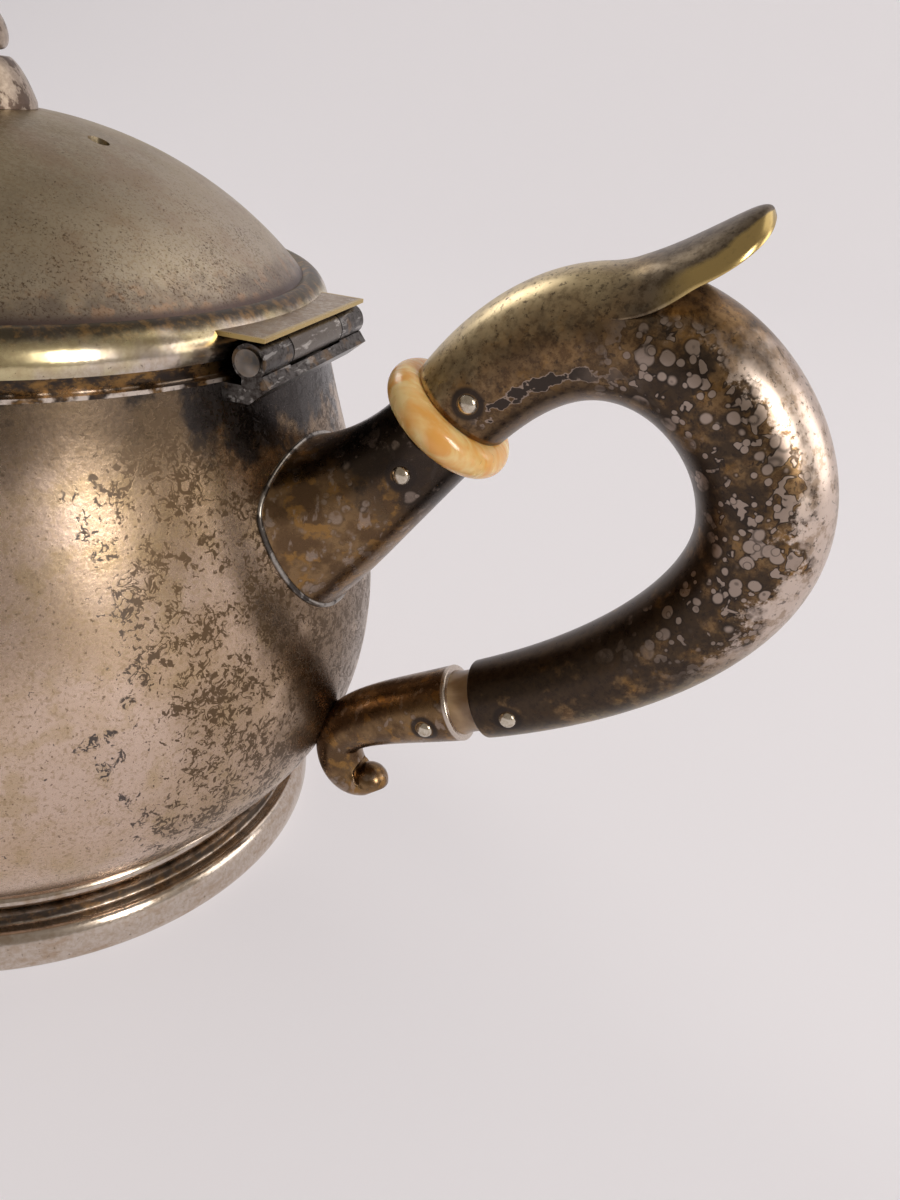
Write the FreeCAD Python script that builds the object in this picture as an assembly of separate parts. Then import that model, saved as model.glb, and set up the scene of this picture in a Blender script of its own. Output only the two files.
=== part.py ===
import FreeCAD, Part
import math
import os

# Silver teapot in millimetres. The origin is the centre of the foot's underside, +Z is up,
# the handle points along +X, the spout along -X, and the lid's hinge axis is parallel to Y.

# Bowl of the pot
POT_WALL = 1.2
BELLY_RADIUS = 65.0
BELLY_HEIGHT = 46.0
MOUTH_RADIUS = 54.6
MOUTH_HEIGHT = 94.5
FLOOR_RADIUS = 44.0
FLOOR_HEIGHT = 12.0
FLARE_RUN = 13.5
FLARE_RISE = 3.5
BELLY_DROP = 20.0
BELLY_RISE = 15.0
NECK_RUN = 1.9
NECK_DROP = 14.5

# Ring soldered in the mouth
COLLAR_WALL = 1.2
COLLAR_DEPTH = 6.5
COLLAR_RISE = 2.5
LIP_REACH = 0.3
LIP_THICKNESS = 0.6

# Moulded foot
FOOT_RADIUS = 53.9
FOOT_TREAD = 3.6
TREAD_RISE = 0.6
FOOT_WALL = 2.4
FOOT_NECK_RADIUS = 48.3
BEAD_REACH = 1.3
BEAD_HEIGHT = 2.8
BEAD_DROP = 0.3
STEP_REACH = 1.9
STEP_HEIGHT = 0.6
OVOLO_TOP = 6.9
OVOLO_INSET = 2.5
OVOLO_BULGE = 0.9

# Spout and its strainer
SPOUT_WALL = 1.2
SPOUT_ROOT_HEIGHT = 42.0
SPOUT_ROOT_DEPTH = 6.0
SPOUT_ROOT_HALF_HEIGHT = 17.0
SPOUT_ROOT_HALF_WIDTH = 14.5
SPOUT_ROOT_RUN = 38.0
SPOUT_REACH = 66.8
SPOUT_TIP_HEIGHT = 98.0
SPOUT_TIP_RADIUS = 6.3
SPOUT_TIP_RUN = 30.0
SPOUT_ROOT_ANGLE = 178.0
SPOUT_TIP_ANGLE = 140.0
SPOUT_TAPER = 1.6
STRAINER_HOLE_RADIUS = 1.3
STRAINER_PITCH = 4.4
STRAINER_ROWS = 2

# Upper joint of the handle: socket on the bowl, insulating ring and its tenons
UPPER_STANDOFF = 14.8
UPPER_HEIGHT = 90.1
UPPER_ANGLE = 54.0
UPPER_SOCKET_RADIUS = 7.7
SOCKET_FOOT_HEIGHT = 73.5
SOCKET_FOOT_DEPTH = 3.4
SOCKET_FOOT_ANGLE = 12.0
SOCKET_FOOT_RISE = 8.6
SOCKET_FOOT_FALL = 21.0
SOCKET_FOOT_HALF_WIDTH = 16.5
SOCKET_FOOT_RUN = 8.0
SOCKET_RING_RUN = 8.0
SOCKET_FLARE = 2.0
SOCKET_KEEL = 0.8
RING_RADIUS = 10.7
RING_THICKNESS = 5.5
RING_FACE_RADIUS = 8.0
TENON_CLEARANCE = 0.04
UPPER_TENON_RADIUS = 5.0
UPPER_SOCKET_TENON = 11.0
UPPER_HANDLE_TENON = 7.6

# Lower joint of the handle: scrolled socket, insulating spool and its tenons
LOWER_STANDOFF = 23.6
LOWER_HEIGHT = 43.1
LOWER_ANGLE = 26.0
LOWER_SOCKET_RADIUS = 6.4
SPOOL_RADIUS = 5.7
SPOOL_THICKNESS = 2.0
LOWER_TENON_RADIUS = 4.0
LOWER_SOCKET_TENON = 9.5
LOWER_HANDLE_TENON = 10.5
SCROLL_HEIGHT = 27.5
SCROLL_RADIUS = 4.0
SCROLL_SINK = 0.5
SCROLL_ARM_RUN = 12.0
SCROLL_TURN_RUN = 6.0
CURL_WIDTH = 7.0
CURL_DROP = 8.6
CURL_RISE = 3.0
CURL_END_RADIUS = 1.8
CURL_BEAD_RADIUS = 2.2

# Handle loop between the two joints
HANDLE_WALL = 1.2
HANDLE_SOLID_COUNT = 2
HANDLE_UPPER_RADIUS = 7.9
PEAK_RUN = 21.4
PEAK_RISE = 13.8
PEAK_RADIUS = 9.2
HANDLE_REACH = 61.4
BACK_HEIGHT = 82.0
BACK_RADIUS = 9.4
HANDLE_LOWER_RADIUS = 6.5
UPPER_RUN = 7.0
PEAK_RUN_IN = 10.0
PEAK_RUN_OUT = 12.6
BACK_RUN_IN = 12.0
BACK_RUN_OUT = 13.0
LOWER_RUN = 25.0
VENT_STATION = 0.68
VENT_RADIUS = 0.75
VENT_ANGLE = 35.0

# Thumb leaf on the loop
LEAF_LENGTH = 22.4
LEAF_SLOPE = 28.0
LEAF_SINK = 2.6
LEAF_TAPER = 1.8
LEAF_ROOT_SHIFT = 5.0
LEAF_ROOT_ANGLE = 15.0
LEAF_TIP_ANGLE = 44.0
LEAF_RUN = 8.0
LEAF_WIDEST = 0.33
LEAF_ROOT_HALF_WIDTH = 7.0
LEAF_HALF_WIDTH = 9.3
LEAF_TIP_HALF_WIDTH = 1.8
LEAF_THICKNESS = 2.2
LEAF_TIP_THICKNESS = 1.6
LEAF_ARCH = 0.45

# Cross rivets through sockets, handle and tenons
RIVET_RADIUS = 0.9
RIVET_CLEARANCE = 0.04
RIVET_HEAD_RADIUS = 1.5
RIVET_HEAD_SINK = 0.7
RIVET_DROP = 0.8
UPPER_SOCKET_RIVET = 8.3
UPPER_HANDLE_RIVET = 6.8
LOWER_SOCKET_RIVET = 7.1
LOWER_HANDLE_RIVET = 8.0

# Hinge of the lid
HINGE_HALF_WIDTH = 16.9
KNUCKLE_HALF_WIDTH = 8.2
KNUCKLE_GAP = 0.3
BARREL_RADIUS = 2.5
HINGE_CLEARANCE = 0.35
HINGE_RISE = 0.5
PIN_RADIUS = 1.3
PIN_RUNNING_CLEARANCE = 0.05
PIN_HEAD_RADIUS = 1.85
PIN_HEAD_THICKNESS = 0.5
PLATE_THICKNESS = 0.6
PLATE_OVERHANG = 2.3
BAR_REACH = 3.1
BAR_CORNER_DROP = 3.2
BAR_NOTCH_REACH = 2.0
BAR_NOTCH_DROP = 1.7
BAR_DEPTH = 2.5
WEB_HALF_WIDTH = 1.1

# Lid
LID_SEAT_GAP = 0.3
LID_WALL = 1.0
RIM_OVERHANG = 0.4
RIM_HEIGHT = 5.7
RIM_EDGE_INSET = 0.4
RIM_BULGE = 0.6
RIM_BULGE_HEIGHT = 1.9
RIM_SHOULDER = 2.1
RIM_CREST_INSET = 3.5
DOME_EDGE_INSET = 4.5
DOME_EDGE_DROP = 0.5
DOME_RISE = 21.0
DOME_BOW = 4.4
CROWN_RADIUS = 10.0
BEZEL_CLEARANCE = 0.5
BEZEL_WALL = 1.0
BEZEL_DEPTH = 4.5
STEAM_VENT_RADIUS = 1.5
STEAM_VENT_REACH = 23.0

# Finial on the crown of the lid
FINIAL_BASE_RADIUS = 10.3
FINIAL_NECK_RADIUS = 7.0
FINIAL_BASE_HEIGHT = 6.6
FINIAL_BASE_FOOT = 0.8
FINIAL_BELL_RISE = 2.4
FINIAL_BELL_RUN = 1.4
FINIAL_BELL_LEAN = 0.8
FINIAL_SEAT_RADIUS = 5.6
FINIAL_GROOVE = 0.8
FINIAL_BUD_SWELL = 3.3
FINIAL_BUD_CROWN = 6.7
FINIAL_BUD_HEIGHT = 8.2
STUD_RADIUS = 2.0
STUD_CLEARANCE = 0.05
STUD_DEPTH_IN_BUD = 3.5
STUD_TAIL = 1.0
WASHER_RADIUS = 5.0
WASHER_THICKNESS = 0.8
NUT_SIDES = 6
NUT_ACROSS_FLATS = 7.0
NUT_HEIGHT = 3.0

# Bezier handle that turns a quarter curve into a quarter circle
QUARTER = 4.0 / 3.0 * (math.sqrt(2.0) - 1.0)

# Steps between sections in one loft, before the next loft goes on
STRETCH = 4

# Closeness of a curve's parameter that is found by halving
PARAMETER_STEP = 1e-6

# Places that follow from the sizes above
COLLAR_RADIUS = MOUTH_RADIUS - POT_WALL
COLLAR_BORE = COLLAR_RADIUS - COLLAR_WALL
COLLAR_TOP = MOUTH_HEIGHT + COLLAR_RISE
RIM_BOTTOM = COLLAR_TOP + LID_SEAT_GAP
RIM_TOP = RIM_BOTTOM + RIM_HEIGHT
RIM_RADIUS = MOUTH_RADIUS + RIM_OVERHANG
DOME_EDGE_RADIUS = RIM_RADIUS - DOME_EDGE_INSET
DOME_EDGE_HEIGHT = RIM_TOP - DOME_EDGE_DROP
CROWN_HEIGHT = DOME_EDGE_HEIGHT + DOME_RISE
HINGE_X = COLLAR_RADIUS + BARREL_RADIUS + HINGE_CLEARANCE
HINGE_Z = RIM_BOTTOM + HINGE_RISE
PLATE_BOTTOM = HINGE_Z + BARREL_RADIUS + HINGE_CLEARANCE
FINIAL_SEAT = CROWN_HEIGHT + FINIAL_BASE_HEIGHT + FINIAL_GROOVE
DRILL_REACH = SOCKET_FOOT_HALF_WIDTH + RING_RADIUS


def point(x, z, y=0.0):
    return FreeCAD.Vector(x, y, z)


def heading(angle):
    """Unit vector in the XZ plane, at an angle in degrees above +X."""
    return point(math.cos(math.radians(angle)), math.sin(math.radians(angle)))


def crosswise(direction):
    """Unit vector in the XZ plane, a quarter turn to the left of the direction."""
    return point(-direction.z, direction.x)


def bezier(poles):
    curve = Part.BezierCurve()
    curve.setPoles(poles)
    return curve


def edge(points):
    """Two points give a line, three a circular arc through them, four a Bezier curve."""
    if len(points) == 2:
        return Part.LineSegment(*points).toShape()
    if len(points) == 3:
        return Part.Arc(*points).toShape()
    return bezier(points).toShape()


def profile_face(pieces):
    return Part.Face(Part.Wire([edge(piece) for piece in pieces]))


def turned(pieces):
    """Solid of revolution about Z of a closed profile in the XZ plane."""
    return profile_face(pieces).revolve(FreeCAD.Vector(), FreeCAD.Vector(0, 0, 1), 360)


def polyline(points):
    return [[start, end] for start, end in zip(points, points[1:])]


def disc(radius, bottom, height, bore=0.0):
    """Cylinder on the Z axis, with an optional bore."""
    solid = Part.makeCylinder(radius, height, point(0, bottom))
    if bore:
        solid = solid.cut(Part.makeCylinder(bore, height, point(0, bottom)))
    return solid


def rod(radius, centre, half_length):
    """Cylinder parallel to Y, centred on a point of the XZ plane."""
    start = centre - FreeCAD.Vector(0, half_length, 0)
    return Part.makeCylinder(radius, 2 * half_length, start, FreeCAD.Vector(0, 1, 0))


def block(x0, x1, half_width, z0, z1):
    corner = FreeCAD.Vector(x0, -half_width, z0)
    return Part.makeBox(x1 - x0, 2 * half_width, z1 - z0, corner)


def oval(centre, direction, half_width, rise, fall=None, keel=0.0):
    """Closed section across a direction, made of four quarter curves.

    Rise and fall are its heights above and below the centre, alike if no fall is given.
    The keel, from 0 to 1, draws the lower side to an edge.
    """
    upward = crosswise(direction)
    top = centre + upward * rise
    bottom = centre - upward * (rise if fall is None else fall)
    side = FreeCAD.Vector(0, half_width, 0)
    quarters = []
    for sign in (1, -1):
        flank = centre + side * sign
        flat_pole = bottom + side * (sign * QUARTER)
        edge_pole = bottom + (centre - bottom) * QUARTER
        keel_pole = flat_pole + (edge_pole - flat_pole) * keel
        upper = [top, top + side * (sign * QUARTER), flank + (top - centre) * QUARTER, flank]
        lower = [flank, flank + (bottom - centre) * QUARTER, keel_pole, bottom]
        quarters.append([upper, lower])
    right, left = quarters
    loop = right + [left[1][::-1], left[0][::-1]]
    return Part.Wire([bezier(poles).toShape() for poles in loop])


def skin(sections):
    """Solid through all sections, lofted in short stretches that share their end sections."""
    solid = None
    for start in range(0, len(sections) - 1, STRETCH):
        piece = Part.makeLoft(sections[start:start + STRETCH + 1], True, False)
        solid = solid.fuse(piece) if solid else piece
    return solid


def place_along(solid, centre, direction):
    """Moves a solid made on the Z axis so that +Z points along the direction."""
    solid.Placement = FreeCAD.Placement(centre, FreeCAD.Rotation(FreeCAD.Vector(0, 0, 1), direction))
    return solid


def blend(start, end, share):
    return start + (end - start) * share


# Bowl

def bowl_poles(inset):
    """Bezier poles of the bowl's lower and upper curve, set in from the outside."""
    floor = point(FLOOR_RADIUS, FLOOR_HEIGHT + inset)
    belly = point(BELLY_RADIUS - inset, BELLY_HEIGHT)
    mouth = point(MOUTH_RADIUS - inset, MOUTH_HEIGHT)
    flare = floor + point(FLARE_RUN - inset, FLARE_RISE)
    lower = [floor, flare, belly - point(0, BELLY_DROP), belly]
    upper = [belly, belly + point(0, BELLY_RISE), mouth + point(NECK_RUN, -NECK_DROP), mouth]
    return lower, upper


def bowl_solid(inset):
    lower, upper = bowl_poles(inset)
    top = point(0, MOUTH_HEIGHT)
    bottom = point(0, FLOOR_HEIGHT + inset)
    return turned([[bottom, lower[0]], lower, upper, [upper[3], top], [top, bottom]])


def bowl_radius(height):
    """Outer radius of the bowl at a height, by halving the curve's parameter range."""
    lower, upper = bowl_poles(0.0)
    curve = bezier(lower if height < BELLY_HEIGHT else upper)
    low, high = 0.0, 1.0
    while high - low > PARAMETER_STEP:
        middle = (low + high) / 2
        if curve.value(middle).z < height:
            low = middle
        else:
            high = middle
    return curve.value(low).x


def strainer_holes():
    """Staggered rows of holes through the wall behind the spout."""
    holes = []
    for row in range(-STRAINER_ROWS, STRAINER_ROWS + 1):
        count = 2 * STRAINER_ROWS + 1 - abs(row)
        height = SPOUT_ROOT_HEIGHT + row * STRAINER_PITCH * math.sqrt(3) / 2
        for column in range(count):
            side = (column - (count - 1) / 2) * STRAINER_PITCH
            start = FreeCAD.Vector(0, side, height)
            outward = FreeCAD.Vector(-1, 0, 0)
            holes.append(Part.makeCylinder(STRAINER_HOLE_RADIUS, 2 * BELLY_RADIUS, start, outward))
    return Part.makeCompound(holes)


def body_shell():
    return BOWL.cut(bowl_solid(POT_WALL)).cut(strainer_holes())


# Mouth collar

def collar_profile(inner_radius):
    lip_radius = MOUTH_RADIUS + LIP_REACH
    lip_top = MOUTH_HEIGHT + LIP_THICKNESS
    bottom = MOUTH_HEIGHT - COLLAR_DEPTH
    corners = [
        point(inner_radius, bottom),
        point(COLLAR_RADIUS, bottom),
        point(COLLAR_RADIUS, MOUTH_HEIGHT),
        point(lip_radius, MOUTH_HEIGHT),
        point(lip_radius, lip_top),
        point(COLLAR_RADIUS, lip_top),
        point(COLLAR_RADIUS, COLLAR_TOP),
        point(inner_radius, COLLAR_TOP),
        point(inner_radius, bottom),
    ]
    return polyline(corners)


def mouth_collar():
    return turned(collar_profile(COLLAR_BORE))


# Foot

def foot_ring():
    neck = FOOT_NECK_RADIUS
    bead_top = FLOOR_HEIGHT - BEAD_DROP
    bead_bottom = bead_top - BEAD_HEIGHT
    step_bottom = bead_bottom - STEP_HEIGHT
    step = neck + STEP_REACH
    ovolo = FOOT_RADIUS - OVOLO_INSET
    top = FLOOR_HEIGHT + FLARE_RISE
    bead = [point(neck, bead_top), point(neck + BEAD_REACH, bead_top - BEAD_HEIGHT / 2)]
    bead.append(point(neck, bead_bottom))
    cove_corner = point(step, OVOLO_TOP)
    cove = [point(step, step_bottom), cove_corner, cove_corner, point(ovolo, OVOLO_TOP)]
    outer = [point(ovolo, OVOLO_TOP), point(FOOT_RADIUS, OVOLO_TOP + OVOLO_BULGE)]
    outer += [point(FOOT_RADIUS + OVOLO_BULGE, 0), point(FOOT_RADIUS - OVOLO_BULGE, 0)]
    tread = point(outer[3].x - FOOT_TREAD, 0)
    inner_foot = point(tread.x, TREAD_RISE)
    inner_neck = point(neck - FOOT_WALL, bead_bottom)
    inner_top = point(neck - FOOT_WALL, top)
    pieces = [[inner_top, point(neck, top)], [point(neck, top), bead[0]], bead]
    pieces += [[bead[2], point(step, bead_bottom)], [point(step, bead_bottom), cove[0]], cove, outer]
    pieces += [[outer[3], tread], [tread, inner_foot], [inner_foot, inner_neck], [inner_neck, inner_top]]
    return turned(pieces).cut(BOWL)


# Spout

def spout_solid(inset, overrun):
    """Tapering skin along the spout's curve, set in from the outside and run on past the tip."""
    root_x = -bowl_radius(SPOUT_ROOT_HEIGHT) + SPOUT_ROOT_DEPTH
    root = point(root_x, SPOUT_ROOT_HEIGHT)
    tip = point(-BELLY_RADIUS - SPOUT_REACH, SPOUT_TIP_HEIGHT)
    root_pole = root + heading(SPOUT_ROOT_ANGLE) * SPOUT_ROOT_RUN
    tip_pole = tip - heading(SPOUT_TIP_ANGLE) * SPOUT_TIP_RUN
    path = bezier([root, root_pole, tip_pole, tip])
    sections = []
    stations = 2 * STRETCH
    for index in range(stations + 1):
        share = index / stations
        fade = (1 - share) ** SPOUT_TAPER
        half_width = blend(SPOUT_TIP_RADIUS, SPOUT_ROOT_HALF_WIDTH, fade) - inset
        half_height = blend(SPOUT_TIP_RADIUS, SPOUT_ROOT_HALF_HEIGHT, fade) - inset
        sections.append(oval(path.value(share), path.tangent(share)[0], half_width, half_height))
    if overrun:
        end = tip + path.tangent(1.0)[0] * overrun
        sections.append(oval(end, path.tangent(1.0)[0], half_width, half_height))
    return skin(sections)


def spout():
    return spout_solid(0.0, 0.0).cut(spout_solid(SPOUT_WALL, SPOUT_WALL)).cut(BOWL)


# Joints of the handle

def upper_joint():
    return point(BELLY_RADIUS + UPPER_STANDOFF, UPPER_HEIGHT)


def lower_joint():
    return point(BELLY_RADIUS + LOWER_STANDOFF, LOWER_HEIGHT)


def upper_socket_solid():
    axis = heading(UPPER_ANGLE)
    end = upper_joint() - axis * (RING_THICKNESS / 2)
    foot = point(bowl_radius(SOCKET_FOOT_HEIGHT) - SOCKET_FOOT_DEPTH, SOCKET_FOOT_HEIGHT)
    foot_pole = foot + heading(SOCKET_FOOT_ANGLE) * SOCKET_FOOT_RUN
    path = bezier([foot, foot_pole, end - axis * SOCKET_RING_RUN, end])
    sections = []
    stations = STRETCH
    for index in range(stations + 1):
        share = index / stations
        fade = (1 - share) ** SOCKET_FLARE
        half_width = blend(UPPER_SOCKET_RADIUS, SOCKET_FOOT_HALF_WIDTH, fade)
        rise = blend(UPPER_SOCKET_RADIUS, SOCKET_FOOT_RISE, fade)
        fall = blend(UPPER_SOCKET_RADIUS, SOCKET_FOOT_FALL, fade)
        direction = path.tangent(share)[0]
        sections.append(oval(path.value(share), direction, half_width, rise, fall, SOCKET_KEEL * fade))
    return skin(sections)


def lower_socket_solid():
    axis = heading(LOWER_ANGLE)
    end = lower_joint() - axis * (SPOOL_THICKNESS / 2)
    turn = point(bowl_radius(SCROLL_HEIGHT) + SCROLL_RADIUS - SCROLL_SINK, SCROLL_HEIGHT)
    curl_end = turn + point(CURL_WIDTH, -CURL_RISE)
    arm = bezier([end, end - axis * SCROLL_ARM_RUN, turn + point(0, SCROLL_TURN_RUN), turn])
    drop = point(0, -CURL_DROP)
    curl = bezier([turn, turn + drop, curl_end + drop * (SCROLL_TURN_RUN / CURL_DROP), curl_end])
    sections = []
    stations = 2 * STRETCH
    for index in range(stations):
        share = index / stations
        radius = blend(LOWER_SOCKET_RADIUS, SCROLL_RADIUS, share)
        sections.append(oval(arm.value(share), arm.tangent(share)[0], radius, radius))
    for index in range(stations + 1):
        share = index / stations
        radius = blend(SCROLL_RADIUS, CURL_END_RADIUS, share)
        sections.append(oval(curl.value(share), curl.tangent(share)[0], radius, radius))
    bead = Part.makeSphere(CURL_BEAD_RADIUS, curl_end)
    return skin(sections).fuse(bead)


def tenon_bore(joint, axis, radius, length):
    return Part.makeCylinder(radius + TENON_CLEARANCE, length, joint, axis)


def rivet_place(joint, axis, distance):
    return joint + axis * distance - crosswise(axis) * RIVET_DROP


def rivet_hole(place):
    return rod(RIVET_RADIUS + RIVET_CLEARANCE, place, DRILL_REACH)


def rivet(place, tube):
    """Cross rivet with a domed head on each side of the tube it holds."""
    side_ray = FreeCAD.Vector(0, DRILL_REACH, 0)
    flank = Part.makeLine(place - side_ray, place + side_ray).common(tube).Length / 2
    solid = rod(RIVET_RADIUS, place, flank)
    for side in (-1, 1):
        centre = place + FreeCAD.Vector(0, side * (flank - RIVET_HEAD_SINK), 0)
        solid = solid.fuse(Part.makeSphere(RIVET_HEAD_RADIUS, centre).cut(tube))
    return solid


def upper_socket():
    depth = RING_THICKNESS / 2 + UPPER_SOCKET_TENON
    bore = tenon_bore(upper_joint(), -UPPER_AXIS, UPPER_TENON_RADIUS, depth)
    return UPPER_SOCKET.cut(BOWL).cut(bore).cut(rivet_hole(UPPER_SOCKET_RIVET_PLACE))


def lower_socket():
    depth = SPOOL_THICKNESS / 2 + LOWER_SOCKET_TENON
    bore = tenon_bore(lower_joint(), -LOWER_AXIS, LOWER_TENON_RADIUS, depth)
    return LOWER_SOCKET.cut(BOWL).cut(bore).cut(rivet_hole(LOWER_SOCKET_RIVET_PLACE))


def upper_insulator():
    half = RING_THICKNESS / 2
    rounding = [point(RING_FACE_RADIUS, -half), point(RING_RADIUS, 0), point(RING_FACE_RADIUS, half)]
    sides = polyline([rounding[2], point(0, half), point(0, -half), rounding[0]])
    ring = turned(sides + [rounding])
    length = UPPER_SOCKET_TENON + RING_THICKNESS + UPPER_HANDLE_TENON
    tenons = disc(UPPER_TENON_RADIUS, -half - UPPER_SOCKET_TENON, length)
    solid = place_along(ring.fuse(tenons), upper_joint(), UPPER_AXIS)
    return solid.cut(rivet_hole(UPPER_SOCKET_RIVET_PLACE)).cut(rivet_hole(UPPER_HANDLE_RIVET_PLACE))


def lower_insulator():
    half = SPOOL_THICKNESS / 2
    length = LOWER_SOCKET_TENON + SPOOL_THICKNESS + LOWER_HANDLE_TENON
    tenons = disc(LOWER_TENON_RADIUS, -half - LOWER_SOCKET_TENON, length)
    solid = disc(SPOOL_RADIUS, -half, SPOOL_THICKNESS).fuse(tenons)
    solid = place_along(solid, lower_joint(), LOWER_AXIS)
    return solid.cut(rivet_hole(LOWER_SOCKET_RIVET_PLACE)).cut(rivet_hole(LOWER_HANDLE_RIVET_PLACE))


# Handle loop

def handle_peak():
    return upper_joint() + UPPER_AXIS * (RING_THICKNESS / 2) + point(PEAK_RUN, PEAK_RISE)


def handle_paths():
    """Centre line of the loop in three curves: ring to peak, peak to back, back to spool."""
    start = upper_joint() + UPPER_AXIS * (RING_THICKNESS / 2)
    end = lower_joint() + LOWER_AXIS * (SPOOL_THICKNESS / 2)
    peak = handle_peak()
    back = point(BELLY_RADIUS + HANDLE_REACH, BACK_HEIGHT)
    rise = bezier([start, start + UPPER_AXIS * UPPER_RUN, peak - point(PEAK_RUN_IN, 0), peak])
    turn = bezier([peak, peak + point(PEAK_RUN_OUT, 0), back + point(0, BACK_RUN_IN), back])
    fall = bezier([back, back - point(0, BACK_RUN_OUT), end + LOWER_AXIS * LOWER_RUN, end])
    return rise, turn, fall


def handle_sections(inset):
    radii = [HANDLE_UPPER_RADIUS, PEAK_RADIUS, BACK_RADIUS, HANDLE_LOWER_RADIUS]
    stations = STRETCH
    sections = []
    for curve, first, last in zip(handle_paths(), radii, radii[1:]):
        for index in range(stations):
            share = index / stations
            radius = blend(first, last, share) - inset
            sections.append(oval(curve.value(share), curve.tangent(share)[0], radius, radius))
    end_radius = HANDLE_LOWER_RADIUS - inset
    sections.append(oval(curve.value(1.0), curve.tangent(1.0)[0], end_radius, end_radius))
    return sections


def handle_vent():
    """Small hole through the wall on the near, lower side of the loop's lower arm."""
    fall = handle_paths()[2]
    centre = fall.value(VENT_STATION)
    below = crosswise(fall.tangent(VENT_STATION)[0])
    slope = math.radians(VENT_ANGLE)
    direction = FreeCAD.Vector(0, -math.cos(slope), 0) + below * math.sin(slope)
    return Part.makeCylinder(VENT_RADIUS, BACK_RADIUS, centre, direction)


def handle_loop():
    hollow = skin(handle_sections(HANDLE_WALL)[HANDLE_SOLID_COUNT:-HANDLE_SOLID_COUNT])
    upper_depth = RING_THICKNESS / 2 + UPPER_HANDLE_TENON
    lower_depth = SPOOL_THICKNESS / 2 + LOWER_HANDLE_TENON
    upper_bore = tenon_bore(upper_joint(), UPPER_AXIS, UPPER_TENON_RADIUS, upper_depth)
    lower_bore = tenon_bore(lower_joint(), LOWER_AXIS, LOWER_TENON_RADIUS, lower_depth)
    solid = HANDLE.cut(hollow).cut(handle_vent()).cut(upper_bore).cut(lower_bore)
    return solid.cut(rivet_hole(UPPER_HANDLE_RIVET_PLACE)).cut(rivet_hole(LOWER_HANDLE_RIVET_PLACE))


def leaf_skin(lowering):
    """Convex skin of the leaf's top from root to tip, lowered by some leaf thicknesses."""
    root = handle_peak() + point(-LEAF_ROOT_SHIFT, PEAK_RADIUS - LEAF_SINK)
    tip = root + heading(LEAF_SLOPE) * LEAF_LENGTH
    root_pole = root + heading(LEAF_ROOT_ANGLE) * LEAF_RUN
    path = bezier([root, root_pole, tip - heading(LEAF_TIP_ANGLE) * LEAF_RUN, tip])
    shares = [0.0]
    half_widths = [LEAF_ROOT_HALF_WIDTH]
    for index in range(STRETCH + 1):
        turn = math.pi / 2 * index / STRETCH
        shares.append(blend(LEAF_WIDEST, 1.0, math.sin(turn)))
        half_widths.append(blend(LEAF_TIP_HALF_WIDTH, LEAF_HALF_WIDTH, math.cos(turn) ** LEAF_TAPER))
    sections = []
    for share, half_width in zip(shares, half_widths):
        thickness = blend(LEAF_THICKNESS, LEAF_TIP_THICKNESS, share)
        arch = LEAF_ARCH * half_width
        direction = path.tangent(share)[0]
        centre = path.value(share) - crosswise(direction) * (arch + thickness * lowering)
        sections.append(oval(centre, direction, half_width, arch + thickness / 2, thickness / 2))
    return Part.makeLoft(sections, True, False)


def thumb_leaf():
    """Arched blade that leaves the loop near its peak, widens and curls up to a round tip."""
    return leaf_skin(0.0).cut(leaf_skin(1.0)).cut(HANDLE)


# Hinge

def hinge_axis():
    return point(HINGE_X, HINGE_Z)


def knuckle(start, end):
    """Part of the barrel between two places along Y."""
    base = hinge_axis() + FreeCAD.Vector(0, start, 0)
    return Part.makeCylinder(BARREL_RADIUS, end - start, base, FreeCAD.Vector(0, 1, 0))


def hinge_body_leaf():
    bar_bottom = MOUTH_HEIGHT - BAR_DEPTH
    corner = hinge_axis() + point(BAR_REACH, -BAR_CORNER_DROP)
    notch = hinge_axis() + point(BAR_NOTCH_REACH, -BAR_NOTCH_DROP)
    inside = COLLAR_BORE * math.cos(math.asin(HINGE_HALF_WIDTH / COLLAR_BORE))
    corners = [
        point(inside, bar_bottom),
        point(HINGE_X, bar_bottom),
        corner,
        notch,
        point(HINGE_X, notch.z),
        point(HINGE_X, MOUTH_HEIGHT),
        point(inside, MOUTH_HEIGHT),
        point(inside, bar_bottom),
    ]
    bar = profile_face(polyline(corners)).extrude(FreeCAD.Vector(0, 2 * HINGE_HALF_WIDTH, 0))
    bar.translate(FreeCAD.Vector(0, -HINGE_HALF_WIDTH, 0))
    bar = bar.cut(BOWL).cut(COLLAR)
    gap_edge = KNUCKLE_HALF_WIDTH + KNUCKLE_GAP
    solid = bar.cut(rod(BARREL_RADIUS + HINGE_CLEARANCE, hinge_axis(), gap_edge))
    for start, end in ((-HINGE_HALF_WIDTH, -gap_edge), (gap_edge, HINGE_HALF_WIDTH)):
        web_corner = FreeCAD.Vector(HINGE_X - WEB_HALF_WIDTH, start, MOUTH_HEIGHT)
        web = Part.makeBox(2 * WEB_HALF_WIDTH, end - start, HINGE_Z - MOUTH_HEIGHT, web_corner)
        solid = solid.fuse(web).fuse(knuckle(start, end))
    return solid.cut(rod(PIN_RADIUS, hinge_axis(), HINGE_HALF_WIDTH))


def hinge_pin():
    solid = rod(PIN_RADIUS, hinge_axis(), HINGE_HALF_WIDTH)
    half_head = PIN_HEAD_THICKNESS / 2
    for side in (-1, 1):
        centre = hinge_axis() + FreeCAD.Vector(0, side * (HINGE_HALF_WIDTH + half_head), 0)
        solid = solid.fuse(rod(PIN_HEAD_RADIUS, centre, half_head))
    return solid


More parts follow.
